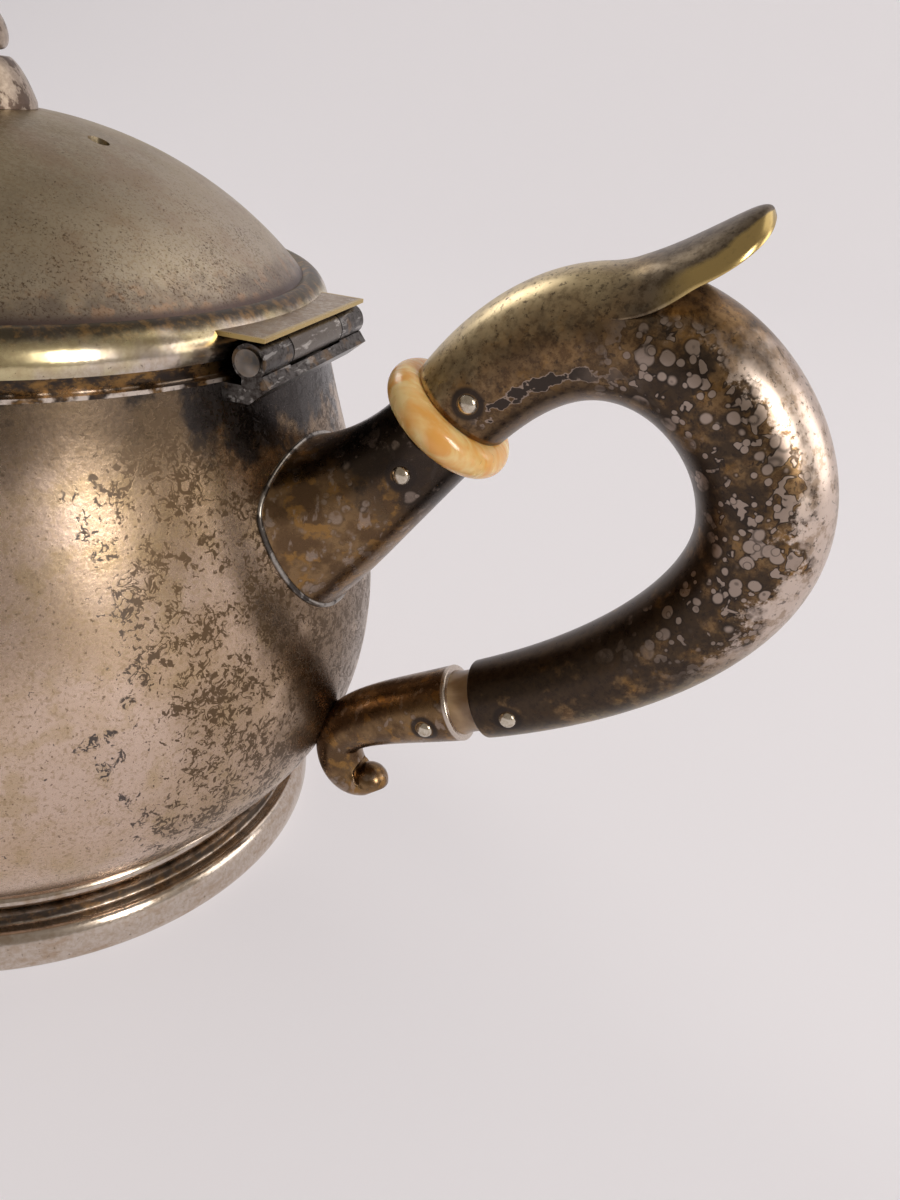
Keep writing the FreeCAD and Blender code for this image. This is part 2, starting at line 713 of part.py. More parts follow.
def hinge_lid_leaf():
    plate_start = math.sqrt(RIM_RADIUS ** 2 - HINGE_HALF_WIDTH ** 2) - RIM_CREST_INSET
    plate_end = HINGE_X + PLATE_OVERHANG
    plate_top = PLATE_BOTTOM + PLATE_THICKNESS
    plate = block(plate_start, plate_end, HINGE_HALF_WIDTH, PLATE_BOTTOM, plate_top)
    web_start = HINGE_X - WEB_HALF_WIDTH
    web = block(web_start, HINGE_X + WEB_HALF_WIDTH, KNUCKLE_HALF_WIDTH, HINGE_Z, PLATE_BOTTOM)
    solid = plate.cut(LID_OUTSIDE).fuse(web).fuse(knuckle(-KNUCKLE_HALF_WIDTH, KNUCKLE_HALF_WIDTH))
    return solid.cut(rod(PIN_RADIUS + PIN_RUNNING_CLEARANCE, hinge_axis(), KNUCKLE_HALF_WIDTH))


# Lid

def dome_points(inset):
    """Crown, middle and edge of the dome's arc, set in from the outside."""
    crown = point(CROWN_RADIUS, CROWN_HEIGHT)
    rim = point(DOME_EDGE_RADIUS, DOME_EDGE_HEIGHT)
    half = (rim - crown) * 0.5
    radius = (half.Length ** 2 + DOME_BOW ** 2) / (2 * DOME_BOW)
    outward = crosswise(half) * (1 / half.Length)
    centre = crown + half - outward * (radius - DOME_BOW)
    shrink = (radius - inset) / radius
    middle = centre + outward * radius
    return [centre + (place - centre) * shrink for place in (crown, middle, rim)]


def rim_curve():
    edge_place = point(RIM_RADIUS - RIM_EDGE_INSET, RIM_BOTTOM)
    bulge = point(RIM_RADIUS + RIM_BULGE, RIM_BOTTOM + RIM_BULGE_HEIGHT)
    crest = point(RIM_RADIUS - RIM_CREST_INSET, RIM_TOP)
    return [edge_place, bulge, crest + point(RIM_SHOULDER, 0), crest]


def lid_outside():
    """The lid's outer form without its hollow, for fitting the hinge leaf to it."""
    arc = dome_points(0.0)
    curve = rim_curve()
    bottom = point(0, RIM_BOTTOM)
    top = point(0, CROWN_HEIGHT)
    pieces = [[bottom, curve[0]], curve, [curve[3], arc[2]], arc[::-1]]
    pieces += polyline([arc[0], top, bottom])
    return turned(pieces)


def lid_dome():
    outer = dome_points(0.0)
    inner = dome_points(LID_WALL)
    top = point(0, CROWN_HEIGHT)
    under = point(0, inner[0].z)
    pieces = [[top, outer[0]], outer, [outer[2], inner[2]], inner[::-1]]
    pieces += polyline([inner[0], under, top])
    solid = turned(pieces)
    stud_hole = disc(STUD_RADIUS + STUD_CLEARANCE, DOME_EDGE_HEIGHT, DOME_RISE)
    vent = Part.makeCylinder(STEAM_VENT_RADIUS, DOME_RISE, point(STEAM_VENT_REACH, DOME_EDGE_HEIGHT))
    return solid.cut(stud_hole).cut(vent)


def lid_rim():
    outer = dome_points(0.0)[2]
    inner = dome_points(LID_WALL)[2]
    curve = rim_curve()
    corner = point(inner.x, RIM_BOTTOM)
    solid = turned([[corner, curve[0]], curve, [curve[3], outer], [outer, inner], [inner, corner]])
    notch_start = HINGE_X - BARREL_RADIUS - HINGE_CLEARANCE
    notch = block(notch_start, HINGE_X, HINGE_HALF_WIDTH + KNUCKLE_GAP, RIM_BOTTOM, PLATE_BOTTOM)
    return solid.cut(notch)


def lid_bezel():
    radius = COLLAR_BORE - BEZEL_CLEARANCE
    return disc(radius, RIM_BOTTOM - BEZEL_DEPTH, BEZEL_DEPTH, radius - BEZEL_WALL)


# Finial

def finial_base():
    bore = STUD_RADIUS + STUD_CLEARANCE
    foot = CROWN_HEIGHT + FINIAL_BASE_FOOT
    neck = CROWN_HEIGHT + FINIAL_BASE_HEIGHT
    bell_foot = point(FINIAL_BASE_RADIUS, foot)
    bell_neck = point(FINIAL_NECK_RADIUS, neck)
    foot_pole = bell_foot + point(-FINIAL_BELL_LEAN, FINIAL_BELL_RISE)
    neck_pole = bell_neck + point(FINIAL_BELL_RUN, -FINIAL_BELL_LEAN)
    start = point(bore, CROWN_HEIGHT)
    below = polyline([start, point(FINIAL_BASE_RADIUS, CROWN_HEIGHT), bell_foot])
    bell = [bell_foot, foot_pole, neck_pole, bell_neck]
    groove = [point(FINIAL_SEAT_RADIUS, neck), point(FINIAL_SEAT_RADIUS, FINIAL_SEAT)]
    above = polyline([bell_neck, *groove, point(bore, FINIAL_SEAT), start])
    return turned(below + [bell] + above)


def finial_bud():
    top = point(0, FINIAL_SEAT + FINIAL_BUD_HEIGHT)
    seat = point(FINIAL_SEAT_RADIUS, FINIAL_SEAT)
    swell = [seat, seat + point(FINIAL_BUD_SWELL, 0), top + point(FINIAL_BUD_CROWN, 0), top]
    centre = point(0, FINIAL_SEAT)
    return turned([[centre, seat], swell, [top, centre]]).cut(stud_solid(STUD_CLEARANCE))


def stud_solid(clearance):
    under = dome_points(LID_WALL)[0].z
    bottom = under - WASHER_THICKNESS - NUT_HEIGHT - STUD_TAIL
    top = FINIAL_SEAT + STUD_DEPTH_IN_BUD
    return disc(STUD_RADIUS + clearance, bottom, top - bottom + clearance)


def finial_stud():
    return stud_solid(0.0)


def finial_washer():
    under = dome_points(LID_WALL)[0].z
    return disc(WASHER_RADIUS, under - WASHER_THICKNESS, WASHER_THICKNESS, STUD_RADIUS + STUD_CLEARANCE)


def finial_nut():
    top = dome_points(LID_WALL)[0].z - WASHER_THICKNESS
    bottom = top - NUT_HEIGHT
    corner_radius = NUT_ACROSS_FLATS / 2 / math.cos(math.pi / NUT_SIDES)
    corners = []
    for index in range(NUT_SIDES + 1):
        angle = 2 * math.pi * index / NUT_SIDES
        corners.append(point(corner_radius * math.cos(angle), bottom, corner_radius * math.sin(angle)))
    prism = Part.Face(Part.makePolygon(corners)).extrude(point(0, NUT_HEIGHT))
    return prism.cut(disc(STUD_RADIUS + STUD_CLEARANCE, bottom, NUT_HEIGHT))


# Whole solids that several pieces are fitted to
UPPER_AXIS = heading(UPPER_ANGLE)
LOWER_AXIS = heading(LOWER_ANGLE)
UPPER_SOCKET_RIVET_PLACE = rivet_place(upper_joint(), UPPER_AXIS, -UPPER_SOCKET_RIVET)
UPPER_HANDLE_RIVET_PLACE = rivet_place(upper_joint(), UPPER_AXIS, UPPER_HANDLE_RIVET)
LOWER_SOCKET_RIVET_PLACE = rivet_place(lower_joint(), LOWER_AXIS, -LOWER_SOCKET_RIVET)
LOWER_HANDLE_RIVET_PLACE = rivet_place(lower_joint(), LOWER_AXIS, LOWER_HANDLE_RIVET)
BOWL = bowl_solid(0.0)
COLLAR = turned(collar_profile(0.0))
UPPER_SOCKET = upper_socket_solid()
LOWER_SOCKET = lower_socket_solid()
HANDLE = skin(handle_sections(0.0))
LID_OUTSIDE = lid_outside()

PIECES = {
    "body_shell": body_shell(),
    "mouth_collar": mouth_collar(),
    "foot_ring": foot_ring(),
    "spout": spout(),
    "upper_socket": upper_socket(),
    "upper_insulator": upper_insulator(),
    "lower_socket": lower_socket(),
    "lower_insulator": lower_insulator(),
    "handle_loop": handle_loop(),
    "thumb_leaf": thumb_leaf(),
    "upper_socket_rivet": rivet(UPPER_SOCKET_RIVET_PLACE, UPPER_SOCKET),
    "upper_handle_rivet": rivet(UPPER_HANDLE_RIVET_PLACE, HANDLE),
    "lower_socket_rivet": rivet(LOWER_SOCKET_RIVET_PLACE, LOWER_SOCKET),
    "lower_handle_rivet": rivet(LOWER_HANDLE_RIVET_PLACE, HANDLE),
    "hinge_body_leaf": hinge_body_leaf(),
    "hinge_pin": hinge_pin(),
    "lid_dome": lid_dome(),
    "lid_rim": lid_rim(),
    "lid_bezel": lid_bezel(),
    "hinge_lid_leaf": hinge_lid_leaf(),
    "finial_base": finial_base(),
    "finial_bud": finial_bud(),
    "finial_stud": finial_stud(),
    "finial_washer": finial_washer(),
    "finial_nut": finial_nut(),
}

os.makedirs("parts", exist_ok=True)
for name, shape in PIECES.items():
    solids = shape.Solids
    piece = solids[0] if len(solids) == 1 else shape
    piece.exportStep(f"parts/{name}.step")
    box = piece.BoundBox
    print(f"{name}: solids {len(solids)}, valid {piece.isValid()}, volume {piece.Volume:.0f} mm3, "
          f"x {box.XMin:.1f} to {box.XMax:.1f}, y {box.YMin:.1f} to {box.YMax:.1f}, "
          f"z {box.ZMin:.1f} to {box.ZMax:.1f}")
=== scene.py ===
# %% [markdown]
# # A tarnished silver teapot
# The pot's working model already exists: bowl, lid, hinge and foot at their real size. This file
# dresses it. It loads that model, adds smooth skins for the cast and bent pieces, gives each
# surface its worn silver finish, and sets up a plain table, soft light and a camera.

# %% Load the model
import math

import bpy
import numpy as np
from mathutils import Matrix, Vector


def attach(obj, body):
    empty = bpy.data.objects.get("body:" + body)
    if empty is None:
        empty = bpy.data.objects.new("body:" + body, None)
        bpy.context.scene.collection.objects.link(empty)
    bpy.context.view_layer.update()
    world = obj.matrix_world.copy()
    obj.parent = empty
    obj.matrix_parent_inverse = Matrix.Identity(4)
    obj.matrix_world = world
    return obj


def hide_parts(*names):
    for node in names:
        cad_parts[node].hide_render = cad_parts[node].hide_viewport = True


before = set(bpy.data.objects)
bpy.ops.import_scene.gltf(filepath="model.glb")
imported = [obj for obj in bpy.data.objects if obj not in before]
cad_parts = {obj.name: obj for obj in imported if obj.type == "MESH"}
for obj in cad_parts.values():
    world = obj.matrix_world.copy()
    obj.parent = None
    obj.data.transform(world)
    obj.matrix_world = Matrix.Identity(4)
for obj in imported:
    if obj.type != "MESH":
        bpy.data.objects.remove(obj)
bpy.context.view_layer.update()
MM = 0.001

# %% [markdown]
# ## Camera
# The photograph was taken by hand, close to the pot and looking down at it, with the lid and the
# spout cut off by the left edge. The place and direction below were found by matching edges of the
# lid, hinge, ring and foot. The place is in mm, and the focal length is in pixels of the frame.

# %% Camera
CAMERA_PLACE = (118.6, -133.3, 133.6)
CAMERA_RIGHT = (0.94661, 0.30712, 0.09801)
CAMERA_UP = (-0.22725, 0.42004, 0.87860)
FOCAL_PIXELS = 979.6
FRAME_PIXELS = (900, 1200)
SENSOR_MM = 36.0
NEAREST_SEEN = 0.005

camera_data = bpy.data.cameras.new("camera")
camera_data.sensor_fit = "AUTO"
camera_data.sensor_width = SENSOR_MM
camera_data.lens = FOCAL_PIXELS * SENSOR_MM / max(FRAME_PIXELS)
camera_data.clip_start = NEAREST_SEEN
camera = bpy.data.objects.new("camera", camera_data)
right = Vector(CAMERA_RIGHT).normalized()
up = Vector(CAMERA_UP).normalized()
turned = Matrix((right, up, right.cross(up))).transposed().to_4x4()
camera.matrix_world = Matrix.Translation(Vector(CAMERA_PLACE) * MM) @ turned
bpy.context.scene.collection.objects.link(camera)
bpy.context.scene.camera = camera
print("lens", round(camera_data.lens, 2), "mm")

# %% [markdown]
# ## A kit for finishes
# A material in Blender is a graph of nodes. Wiring each node by hand makes long code that hides the
# idea. This kit keeps a graph and adds to it one step at a time: sums and mixes first, then
# patterns and the wires into the shader. Every pattern starts from the piece's own place, measured
# in mm, so it stays put from every side.

# %% Sums and mixes
class Graph:
    """A material's graph. A sum, step or mix adds a node and gives back its output."""

    def __init__(self, name, metallic=1.0):
        self.material = bpy.data.materials.new(name)
        self.material.use_nodes = True
        self.tree = self.material.node_tree
        self.shader = self.tree.nodes["Principled BSDF"]
        self.shader.inputs["Metallic"].default_value = metallic
        texture_place = self.node("ShaderNodeTexCoord")
        scale = self.node("ShaderNodeVectorMath", operation="SCALE")
        self.put(scale.inputs[0], texture_place.outputs["Object"])
        self.put(scale.inputs["Scale"], 1 / MM)
        self.place = scale.outputs[0]
        split = self.node("ShaderNodeSeparateXYZ")
        self.put(split.inputs[0], self.place)
        self.x, self.y, self.z = split.outputs

    def node(self, kind, **settings):
        made = self.tree.nodes.new(kind)
        for key, value in settings.items():
            setattr(made, key, value)
        return made

    def put(self, socket, value):
        """Wires an output into a socket, or writes a constant there."""
        if isinstance(value, bpy.types.NodeSocket):
            self.tree.links.new(value, socket)
        elif isinstance(value, tuple) and socket.type == "RGBA":
            socket.default_value = (*value, 1)
        else:
            socket.default_value = value

    def put_all(self, made, settings):
        """Sets several of a node's sockets by name."""
        for key, value in settings.items():
            self.put(made.inputs[key], value)

    def math(self, operation, a, b=0.0, c=0.0):
        made = self.node("ShaderNodeMath", operation=operation)
        for socket, value in zip(made.inputs, (a, b, c)):
            self.put(socket, value)
        return made.outputs[0]

    def times(self, *values):
        total = values[0]
        for value in values[1:]:
            total = self.math("MULTIPLY", total, value)
        return total

    def plus(self, a, b):
        return self.math("ADD", a, b)

    def minus(self, a, b):
        return self.math("SUBTRACT", a, b)

    def larger(self, a, b):
        return self.math("MAXIMUM", a, b)

    def size_of(self, a):
        return self.math("ABSOLUTE", a)

    def step(self, value, low, high, start=0.0, end=1.0):
        """Smooth step: start below low, end above high."""
        made = self.node("ShaderNodeMapRange", interpolation_type="SMOOTHSTEP")
        self.put_all(made, {"Value": value, "From Min": low, "From Max": high})
        self.put_all(made, {"To Min": start, "To Max": end})
        return made.outputs["Result"]

    def mix(self, share, a, b):
        """Colour a, with b laid over it by the share."""
        made = self.node("ShaderNodeMix", data_type="RGBA")
        colours = [s for s in made.inputs if s.type == "RGBA"]
        self.put(made.inputs[0], share)
        self.put(colours[0], a)
        self.put(colours[1], b)
        return [s for s in made.outputs if s.type == "RGBA"][0]


# %% Patterns and the wires into the shader
MIDDLE = 0.5


class Finish(Graph):
    """A graph with patterns in mm, whose colour, roughness and bump go into one shader."""

    def noise(self, size, detail=3.0, roughness=0.55, distortion=0.0, stretch=None, shift=0.0):
        """Noise from 0 to 1 whose features are about that many mm wide."""
        made = self.node("ShaderNodeTexNoise")
        place = self.place
        if stretch or shift:
            mapping = self.node("ShaderNodeMapping")
            self.put(mapping.inputs["Vector"], place)
            self.put(mapping.inputs["Scale"], stretch or (1.0, 1.0, 1.0))
            self.put(mapping.inputs["Location"], (shift, shift, shift))
            place = mapping.outputs[0]
        self.put_all(made, {"Vector": place, "Scale": 1 / size, "Detail": detail})
        self.put_all(made, {"Roughness": roughness, "Distortion": distortion})
        return made.outputs["Fac"]

    def uneven(self, size, detail=3.0, roughness=0.55, shift=0.0):
        """Noise about 0, for moving an edge to and fro."""
        return self.minus(self.noise(size, detail, roughness, shift=shift), MIDDLE)

    def cells(self, size, randomness, warp):
        """Distance to the nearest of scattered points, in cell widths, and a random value per cell.
        The place is first moved by a noise of up to the warp, also in cell widths."""
        wobble = self.node("ShaderNodeTexNoise")
        self.put_all(wobble, {"Vector": self.place, "Scale": 1 / size})
        moved = self.node("ShaderNodeVectorMath", operation="MULTIPLY_ADD")
        self.put(moved.inputs[0], wobble.outputs["Color"])
        self.put(moved.inputs[1], (warp * size, warp * size, warp * size))
        self.put(moved.inputs[2], self.place)
        made = self.node("ShaderNodeTexVoronoi")
        self.put_all(made, {"Vector": moved.outputs[0], "Scale": 1 / size, "Randomness": randomness})
        return made.outputs["Distance"], made.outputs["Color"]

    def near(self, spots, radius, soft):
        """1 within a radius of any of these spots, in mm, fading over the soft width."""
        total = None
        for place in spots:
            gap = self.node("ShaderNodeVectorMath", operation="DISTANCE")
            self.put(gap.inputs[0], self.place)
            self.put(gap.inputs[1], place)
            here = self.step(gap.outputs["Value"], radius, radius + soft, 1.0, 0.0)
            total = here if total is None else self.larger(total, here)
        return total

    def turn(self):
        """Share of the turn around a skin's ring, and share of the way along it."""
        uv = self.node("ShaderNodeUVMap", uv_map="ring_turn")
        split = self.node("ShaderNodeSeparateXYZ")
        self.put(split.inputs[0], uv.outputs[0])
        return split.outputs[1], split.outputs[0]

    def bump(self, height, strength, depth):
        made = self.node("ShaderNodeBump")
        self.put_all(made, {"Height": height, "Strength": strength, "Distance": depth * MM})
        self.put(self.shader.inputs["Normal"], made.outputs[0])

    def finish(self, colour, roughness):
        self.put(self.shader.inputs["Base Color"], colour)
        self.put(self.shader.inputs["Roughness"], roughness)
        print("finish", self.material.name, len(self.tree.nodes), "nodes")
        return self.material


# %% [markdown]
# ## Light and table
# Silver shows what is around it, so the surroundings matter more than the lamps. A plane with a
# separate wall would show its corner in the metal, so a pale table sweeps up into a wall behind
# the pot. Towards the front it fades into the dim, warm room behind the camera, which gives the
# bowl its dark parts.

# %% Table that sweeps up into a wall
# The stage is drawn in metres. Its fade is in mm, as in every finish.
TABLE_COLOUR = (0.90, 0.87, 0.905)
TABLE_DIM = (0.42, 0.375, 0.33)
TABLE_DIM_FROM = (-1200.0, -200.0)
TABLE_PLAIN_SHARE = 0.48
TABLE_ROUGHNESS = 0.7
TABLE_FRONT = -2.5
WALL_START = 0.75
WALL_RADIUS = 0.55
WALL_TOP = 1.6
WALL_BEND_POINTS = 25
STAGE_HALF_WIDTH = 40.0


def stage_profile():
    """Side view of the stage: a level line, a quarter circle and an upright line, as (y, z)."""
    angle = np.linspace(0, np.pi / 2, WALL_BEND_POINTS)
    bend_y = WALL_START + WALL_RADIUS * np.sin(angle)
    bend_z = WALL_RADIUS * (1 - np.cos(angle))
    y = np.concatenate([[TABLE_FRONT], bend_y, [bend_y[-1]]])
    z = np.concatenate([[0.0], bend_z, [WALL_TOP]])
    return y, z


def table_paint():
    """Matt paint that fades into the dim room towards the front. About half of what the eye or a
    reflection meets is its plain colour, so the background stays pale and still keeps a shadow."""
    f = Finish("table_paint", metallic=0.0)
    tone = f.mix(f.step(f.y, *TABLE_DIM_FROM), TABLE_DIM, TABLE_COLOUR)
    plain = f.node("ShaderNodeEmission")
    f.put(plain.inputs["Color"], tone)
    rays = f.node("ShaderNodeLightPath")
    seen = f.larger(rays.outputs["Is Camera Ray"], rays.outputs["Is Glossy Ray"])
    blend = f.node("ShaderNodeMixShader")
    f.put(blend.inputs[0], f.times(seen, TABLE_PLAIN_SHARE))
    f.put(blend.inputs[1], f.shader.outputs[0])
    f.put(blend.inputs[2], plain.outputs[0])
    f.put(f.tree.nodes["Material Output"].inputs["Surface"], blend.outputs[0])
    return f.finish(tone, TABLE_ROUGHNESS)


def make_stage():
    """The profile drawn out sideways: one strip of faces between its left and right copies."""
    y, z = stage_profile()
    left_edge = np.stack([np.full_like(y, -STAGE_HALF_WIDTH), y, z], axis=1)
    right_edge = left_edge * [-1, 1, 1]
    count = len(y)
    index = np.arange(count - 1)
    faces = np.stack([index, index + count, index + count + 1, index + 1], axis=1)
    mesh = bpy.data.meshes.new("table")
    mesh.from_pydata(np.concatenate([left_edge, right_edge]).tolist(), [], faces.tolist())
    mesh.polygons.foreach_set("use_smooth", np.ones(count - 1, bool))
    mesh.materials.append(table_paint())
    table = bpy.data.objects.new("table", mesh)
    bpy.context.scene.collection.objects.link(table)
    print("table of", count - 1, "strips, wall", WALL_TOP, "m high")


make_stage()

# %% [markdown]
# A tall soft window stands low on the right and draws the bowl's highlight. A wider one beside it
# lights the back of the handle, a large lamp hangs high behind the right side, and a small window
# lights the far left. Area lamps are used because polished metal shows a lamp's shape, and a point
# would be a hard dot.

# %% Lamps and the dim room
POT_MIDDLE = Vector((0.05, 0.0, 0.07))
ROOM_COLOUR = (0.30, 0.265, 0.23)

# Azimuth and elevation in degrees, distance and size in metres, watts, colour.
LAMPS = {
    "window": (-28, 22, 1.1, (0.2, 0.45), 5.0, (1.0, 0.96, 0.90)),
    "side_window": (18, 15, 1.2, (0.55, 0.5), 2.6, (1.0, 0.95, 0.90)),
    "high_lamp": (40, 46, 1.6, (1.0, 1.0), 3.0, (1.0, 0.95, 0.89)),
    "left_window": (150, 38, 1.3, (0.4, 0.5), 2.4, (1.0, 0.96, 0.90)),
}


def soft_lamp(name, azimuth, elevation, distance, size, watts, colour):
    """Rectangular lamp that faces the pot from a direction, with azimuth from +X towards +Y."""
    a = math.radians(azimuth)
    e = math.radians(elevation)
    away = Vector((math.cos(e) * math.cos(a), math.cos(e) * math.sin(a), math.sin(e)))
    data = bpy.data.lights.new(name, "AREA")
    data.shape = "RECTANGLE"
    data.size, data.size_y = size
    data.energy = watts
    data.color = colour
    lamp = bpy.data.objects.new(name, data)
    facing = away.to_track_quat("Z", "Y").to_matrix().to_4x4()
    lamp.matrix_world = Matrix.Translation(POT_MIDDLE + away * distance) @ facing
    bpy.context.scene.collection.objects.link(lamp)
    print("lamp", name, watts, "W")


for lamp_name, lamp_settings in LAMPS.items():
    soft_lamp(lamp_name, *lamp_settings)

world = bpy.data.worlds.new("room")
world.use_nodes = True
room = world.node_tree.nodes["Background"]
room.inputs["Color"].default_value = (*ROOM_COLOUR, 1)
room.inputs["Strength"].default_value = 1.0
bpy.context.scene.world = world
bpy.context.scene.view_settings.view_transform = "Standard"

# %% [markdown]
# ## Skins for the bent and cast pieces
# The loop, the sockets, the leaf and the spout are curved all over, and polished metal shows every
# facet. They could be sculpted, but then no size could be read off. Each becomes a skin instead: a
# path of joined Bezier curves, with an oval carried along it. The ovals are made of four Bezier
# quarters, the same way as the pieces they stand for.

# %% Points and curves
def spot(x, z, y=0.0):
    """A point in mm. Most pieces lie in the pot's middle plane, so y comes last."""
    return np.array([x, y, z], float)


def heading(angle):
    """Unit direction in the middle plane, at an angle in degrees above +X."""
    return spot(math.cos(math.radians(angle)), math.sin(math.radians(angle)))


def bezier(poles, t):
    """Cubic curve: the four poles weighted by the terms of ((1 - t) + t) cubed."""
    t = np.asarray(t)[..., None]
    s = 1 - t
    return s ** 3 * poles[0] + 3 * s ** 2 * t * poles[1] + 3 * s * t ** 2 * poles[2] + t ** 3 * poles[3]


def unit(vectors):
    """Each row scaled to a length of 1."""
    return vectors / np.linalg.norm(vectors, axis=1, keepdims=True)


def path_of(curves, steps):
    """Points along joined curves, with unit tangents from central differences."""
    share = np.linspace(0, 1, steps + 1)
    runs = [bezier(curve, share if i == 0 else share[1:]) for i, curve in enumerate(curves)]
    points = np.concatenate(runs)
    return points, unit(np.gradient(points, axis=0))


def left_of(tangents):
    """Normals in the middle plane, a quarter turn to the left of each tangent."""
    return np.stack([-tangents[:, 2], np.zeros(len(tangents)), tangents[:, 0]], axis=1)


# %% Rings across a path
QUARTER = 4.0 / 3.0 * (math.sqrt(2.0) - 1.0)
AROUND = 96
ROUND_STEPS = 7


def ovals(points, tangents, half_width, rise, fall=None):
    """Rings of points across a path. Each ring is four Bezier quarters: outwards along the left
    normal by the rise, sideways by the half width, and back by the fall, or the rise if none."""
    fall = rise if fall is None else fall
    columns = [np.asarray(v, float) * np.ones(len(points)) for v in (half_width, rise, fall)]
    w, r, f = [c[:, None] for c in columns]
    zero = np.zeros_like(w)
    quarters = [
        [(zero, r), (w * QUARTER, r), (w, r * QUARTER), (w, zero)],
        [(w, zero), (w, -f * QUARTER), (w * QUARTER, -f), (zero, -f)],
        [(zero, -f), (-w * QUARTER, -f), (-w, -f * QUARTER), (-w, zero)],
        [(-w, zero), (-w, r * QUARTER), (-w * QUARTER, r), (zero, r)],
    ]
    t = np.arange(AROUND // 4) / (AROUND // 4)
    weights = [(1 - t) ** 3, 3 * (1 - t) ** 2 * t, 3 * (1 - t) * t ** 2, t ** 3]
    across, outward = [
        np.concatenate([sum(c * pole[i] for c, pole in zip(weights, q)) for q in quarters], axis=1)
        for i in (0, 1)
    ]
    sideways = np.array([0.0, 1.0, 0.0])
    upward = left_of(tangents)[:, None, :]
    return points[:, None, :] + outward[..., None] * upward + across[..., None] * sideways


def rounded_ends(rows, start=0.5, end=0.5):
    """Draws both ends in over a quarter round of that size. Rings nearer to an end are left out."""
    centres = rows.mean(axis=1)
    run = np.concatenate([[0], np.cumsum(np.linalg.norm(np.diff(centres, axis=0), axis=1))])
    kept = rows[(run > start) & (run < run[-1] - end)]
    angle = np.linspace(0, np.pi / 2, ROUND_STEPS)[:, None, None]
    rounds = []
    for ring, before, size in ((rows[0], rows[1], start), (rows[-1], rows[-2], end)):
        centre = ring.mean(axis=0)
        outward = unit(ring - centre)
        along = centre - before.mean(axis=0)
        along = along / np.linalg.norm(along)
        drawn_in = outward * size * (1 - np.cos(angle))
        rounds.append(ring - drawn_in - along * size * (1 - np.sin(angle)))
    return np.concatenate([rounds[0][::-1], kept, rounds[1]])


# %% From rings to a mesh
def ring_turn_map(bands, around, closed_loop):
    """Share of the way along and of the turn around, for each corner of the quads and end fans. The
    last column ends at a whole turn, so nothing jumps where a ring closes."""
    along = (np.arange(bands)[:, None, None] + np.array([0, 1, 1, 0])) / bands
    around_share = (np.arange(around)[None, :, None] + np.array([0, 0, 1, 1])) / around
    corners = [np.stack(np.broadcast_arrays(along, around_share), axis=-1).reshape(-1, 2)]
    ends = [] if closed_loop else [(0.0, [0, 1, 0.5]), (1.0, [1, 0, 0.5])]
    for share, order in ends:
        fan = (np.arange(around)[:, None] + np.array(order)) / around
        corners.append(np.stack([np.full_like(fan, share), fan], axis=-1).reshape(-1, 2))
    return np.concatenate(corners)


def volume_of(mesh):
    """Sum of the signed pyramids from the origin to each triangle; positive when faces point out."""
    mesh.calc_loop_triangles()
    corner = np.empty(len(mesh.loop_triangles) * 3, np.int32)
    mesh.loop_triangles.foreach_get("vertices", corner)
    place = np.empty(len(mesh.vertices) * 3, np.float32)
    mesh.vertices.foreach_get("co", place)
    a, b, c = place.reshape(-1, 3)[corner.reshape(-1, 3)].transpose(1, 0, 2).astype(float)
    return float((a * np.cross(b, c)).sum() / 6)


def make_piece(name, rows, body, stands_for=(), closed_loop=False):
    """Mesh from rings of points in mm. Quads join neighbouring rings; the two ends are closed by
    fans, or joined to each other when the rings form a loop. The UV map holds ring and turn."""
    count, around = rows.shape[:2]
    grid = np.arange(count * around).reshape(count, around)
    following = np.roll(grid, -1, axis=0) if closed_loop else grid[1:]
    first = grid if closed_loop else grid[:-1]
    corners = [first, following, np.roll(following, -1, axis=1), np.roll(first, -1, axis=1)]
    faces = np.stack(corners, axis=-1).reshape(-1, 4).tolist()
    vertices = rows.reshape(-1, 3)
    if not closed_loop:
        centres = np.stack([rows[0].mean(axis=0), rows[-1].mean(axis=0)])
        start, end = count * around, count * around + 1
        vertices = np.concatenate([vertices, centres])
        ring = np.arange(around)
        onward = np.roll(ring, -1)
        faces += np.stack([ring, onward, np.full(around, start)], axis=1).tolist()
        faces += np.stack([grid[-1][onward], grid[-1][ring], np.full(around, end)], axis=1).tolist()
    mesh = bpy.data.meshes.new(name)
    mesh.from_pydata((vertices * MM).tolist(), [], faces)
    mesh.update()
    uv = ring_turn_map(len(first), around, closed_loop)
    mesh.uv_layers.new(name="ring_turn").data.foreach_set("uv", uv.astype(np.float32).ravel())
    mesh.polygons.foreach_set("use_smooth", np.ones(len(mesh.polygons), bool))
    piece = bpy.data.objects.new(name, mesh)
    bpy.context.scene.collection.objects.link(piece)
    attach(piece, body)
    if stands_for:
        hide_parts(*stands_for)
    print(name, len(mesh.vertices), "points,", round(volume_of(mesh) / MM ** 3), "cubic mm")


# %% [markdown]
# ### The bowl's outline
# The sockets and the spout are soldered to the bowl, so their skins have to end in its wall. The
# bowl itself needs no skin: it is round, and its own mesh is smooth. Only its outline is drawn
# again here, as a table of radius by height that a skin can be fitted to.

# %% The bowl's outline, which other pieces sit on
FLOOR_POLES = [spot(44, 12), spot(57.5, 15.5), spot(65, 26), spot(65, 46)]
SIDE_POLES = [spot(65, 46), spot(65, 61), spot(56.5, 80), spot(54.6, 94.5)]
OUTLINE_STEPS = 200
WALL_MIDDLE = 0.6
TINY = 1e-6

bowl_outline, _ = path_of([FLOOR_POLES, SIDE_POLES], OUTLINE_STEPS)
print("bowl radius at its widest", round(bowl_outline[:, 0].max(), 1), "mm")


def bowl_radius(z):
    """Outside radius at a height, read off the outline."""
    return np.interp(z, bowl_outline[:, 2], bowl_outline[:, 0])


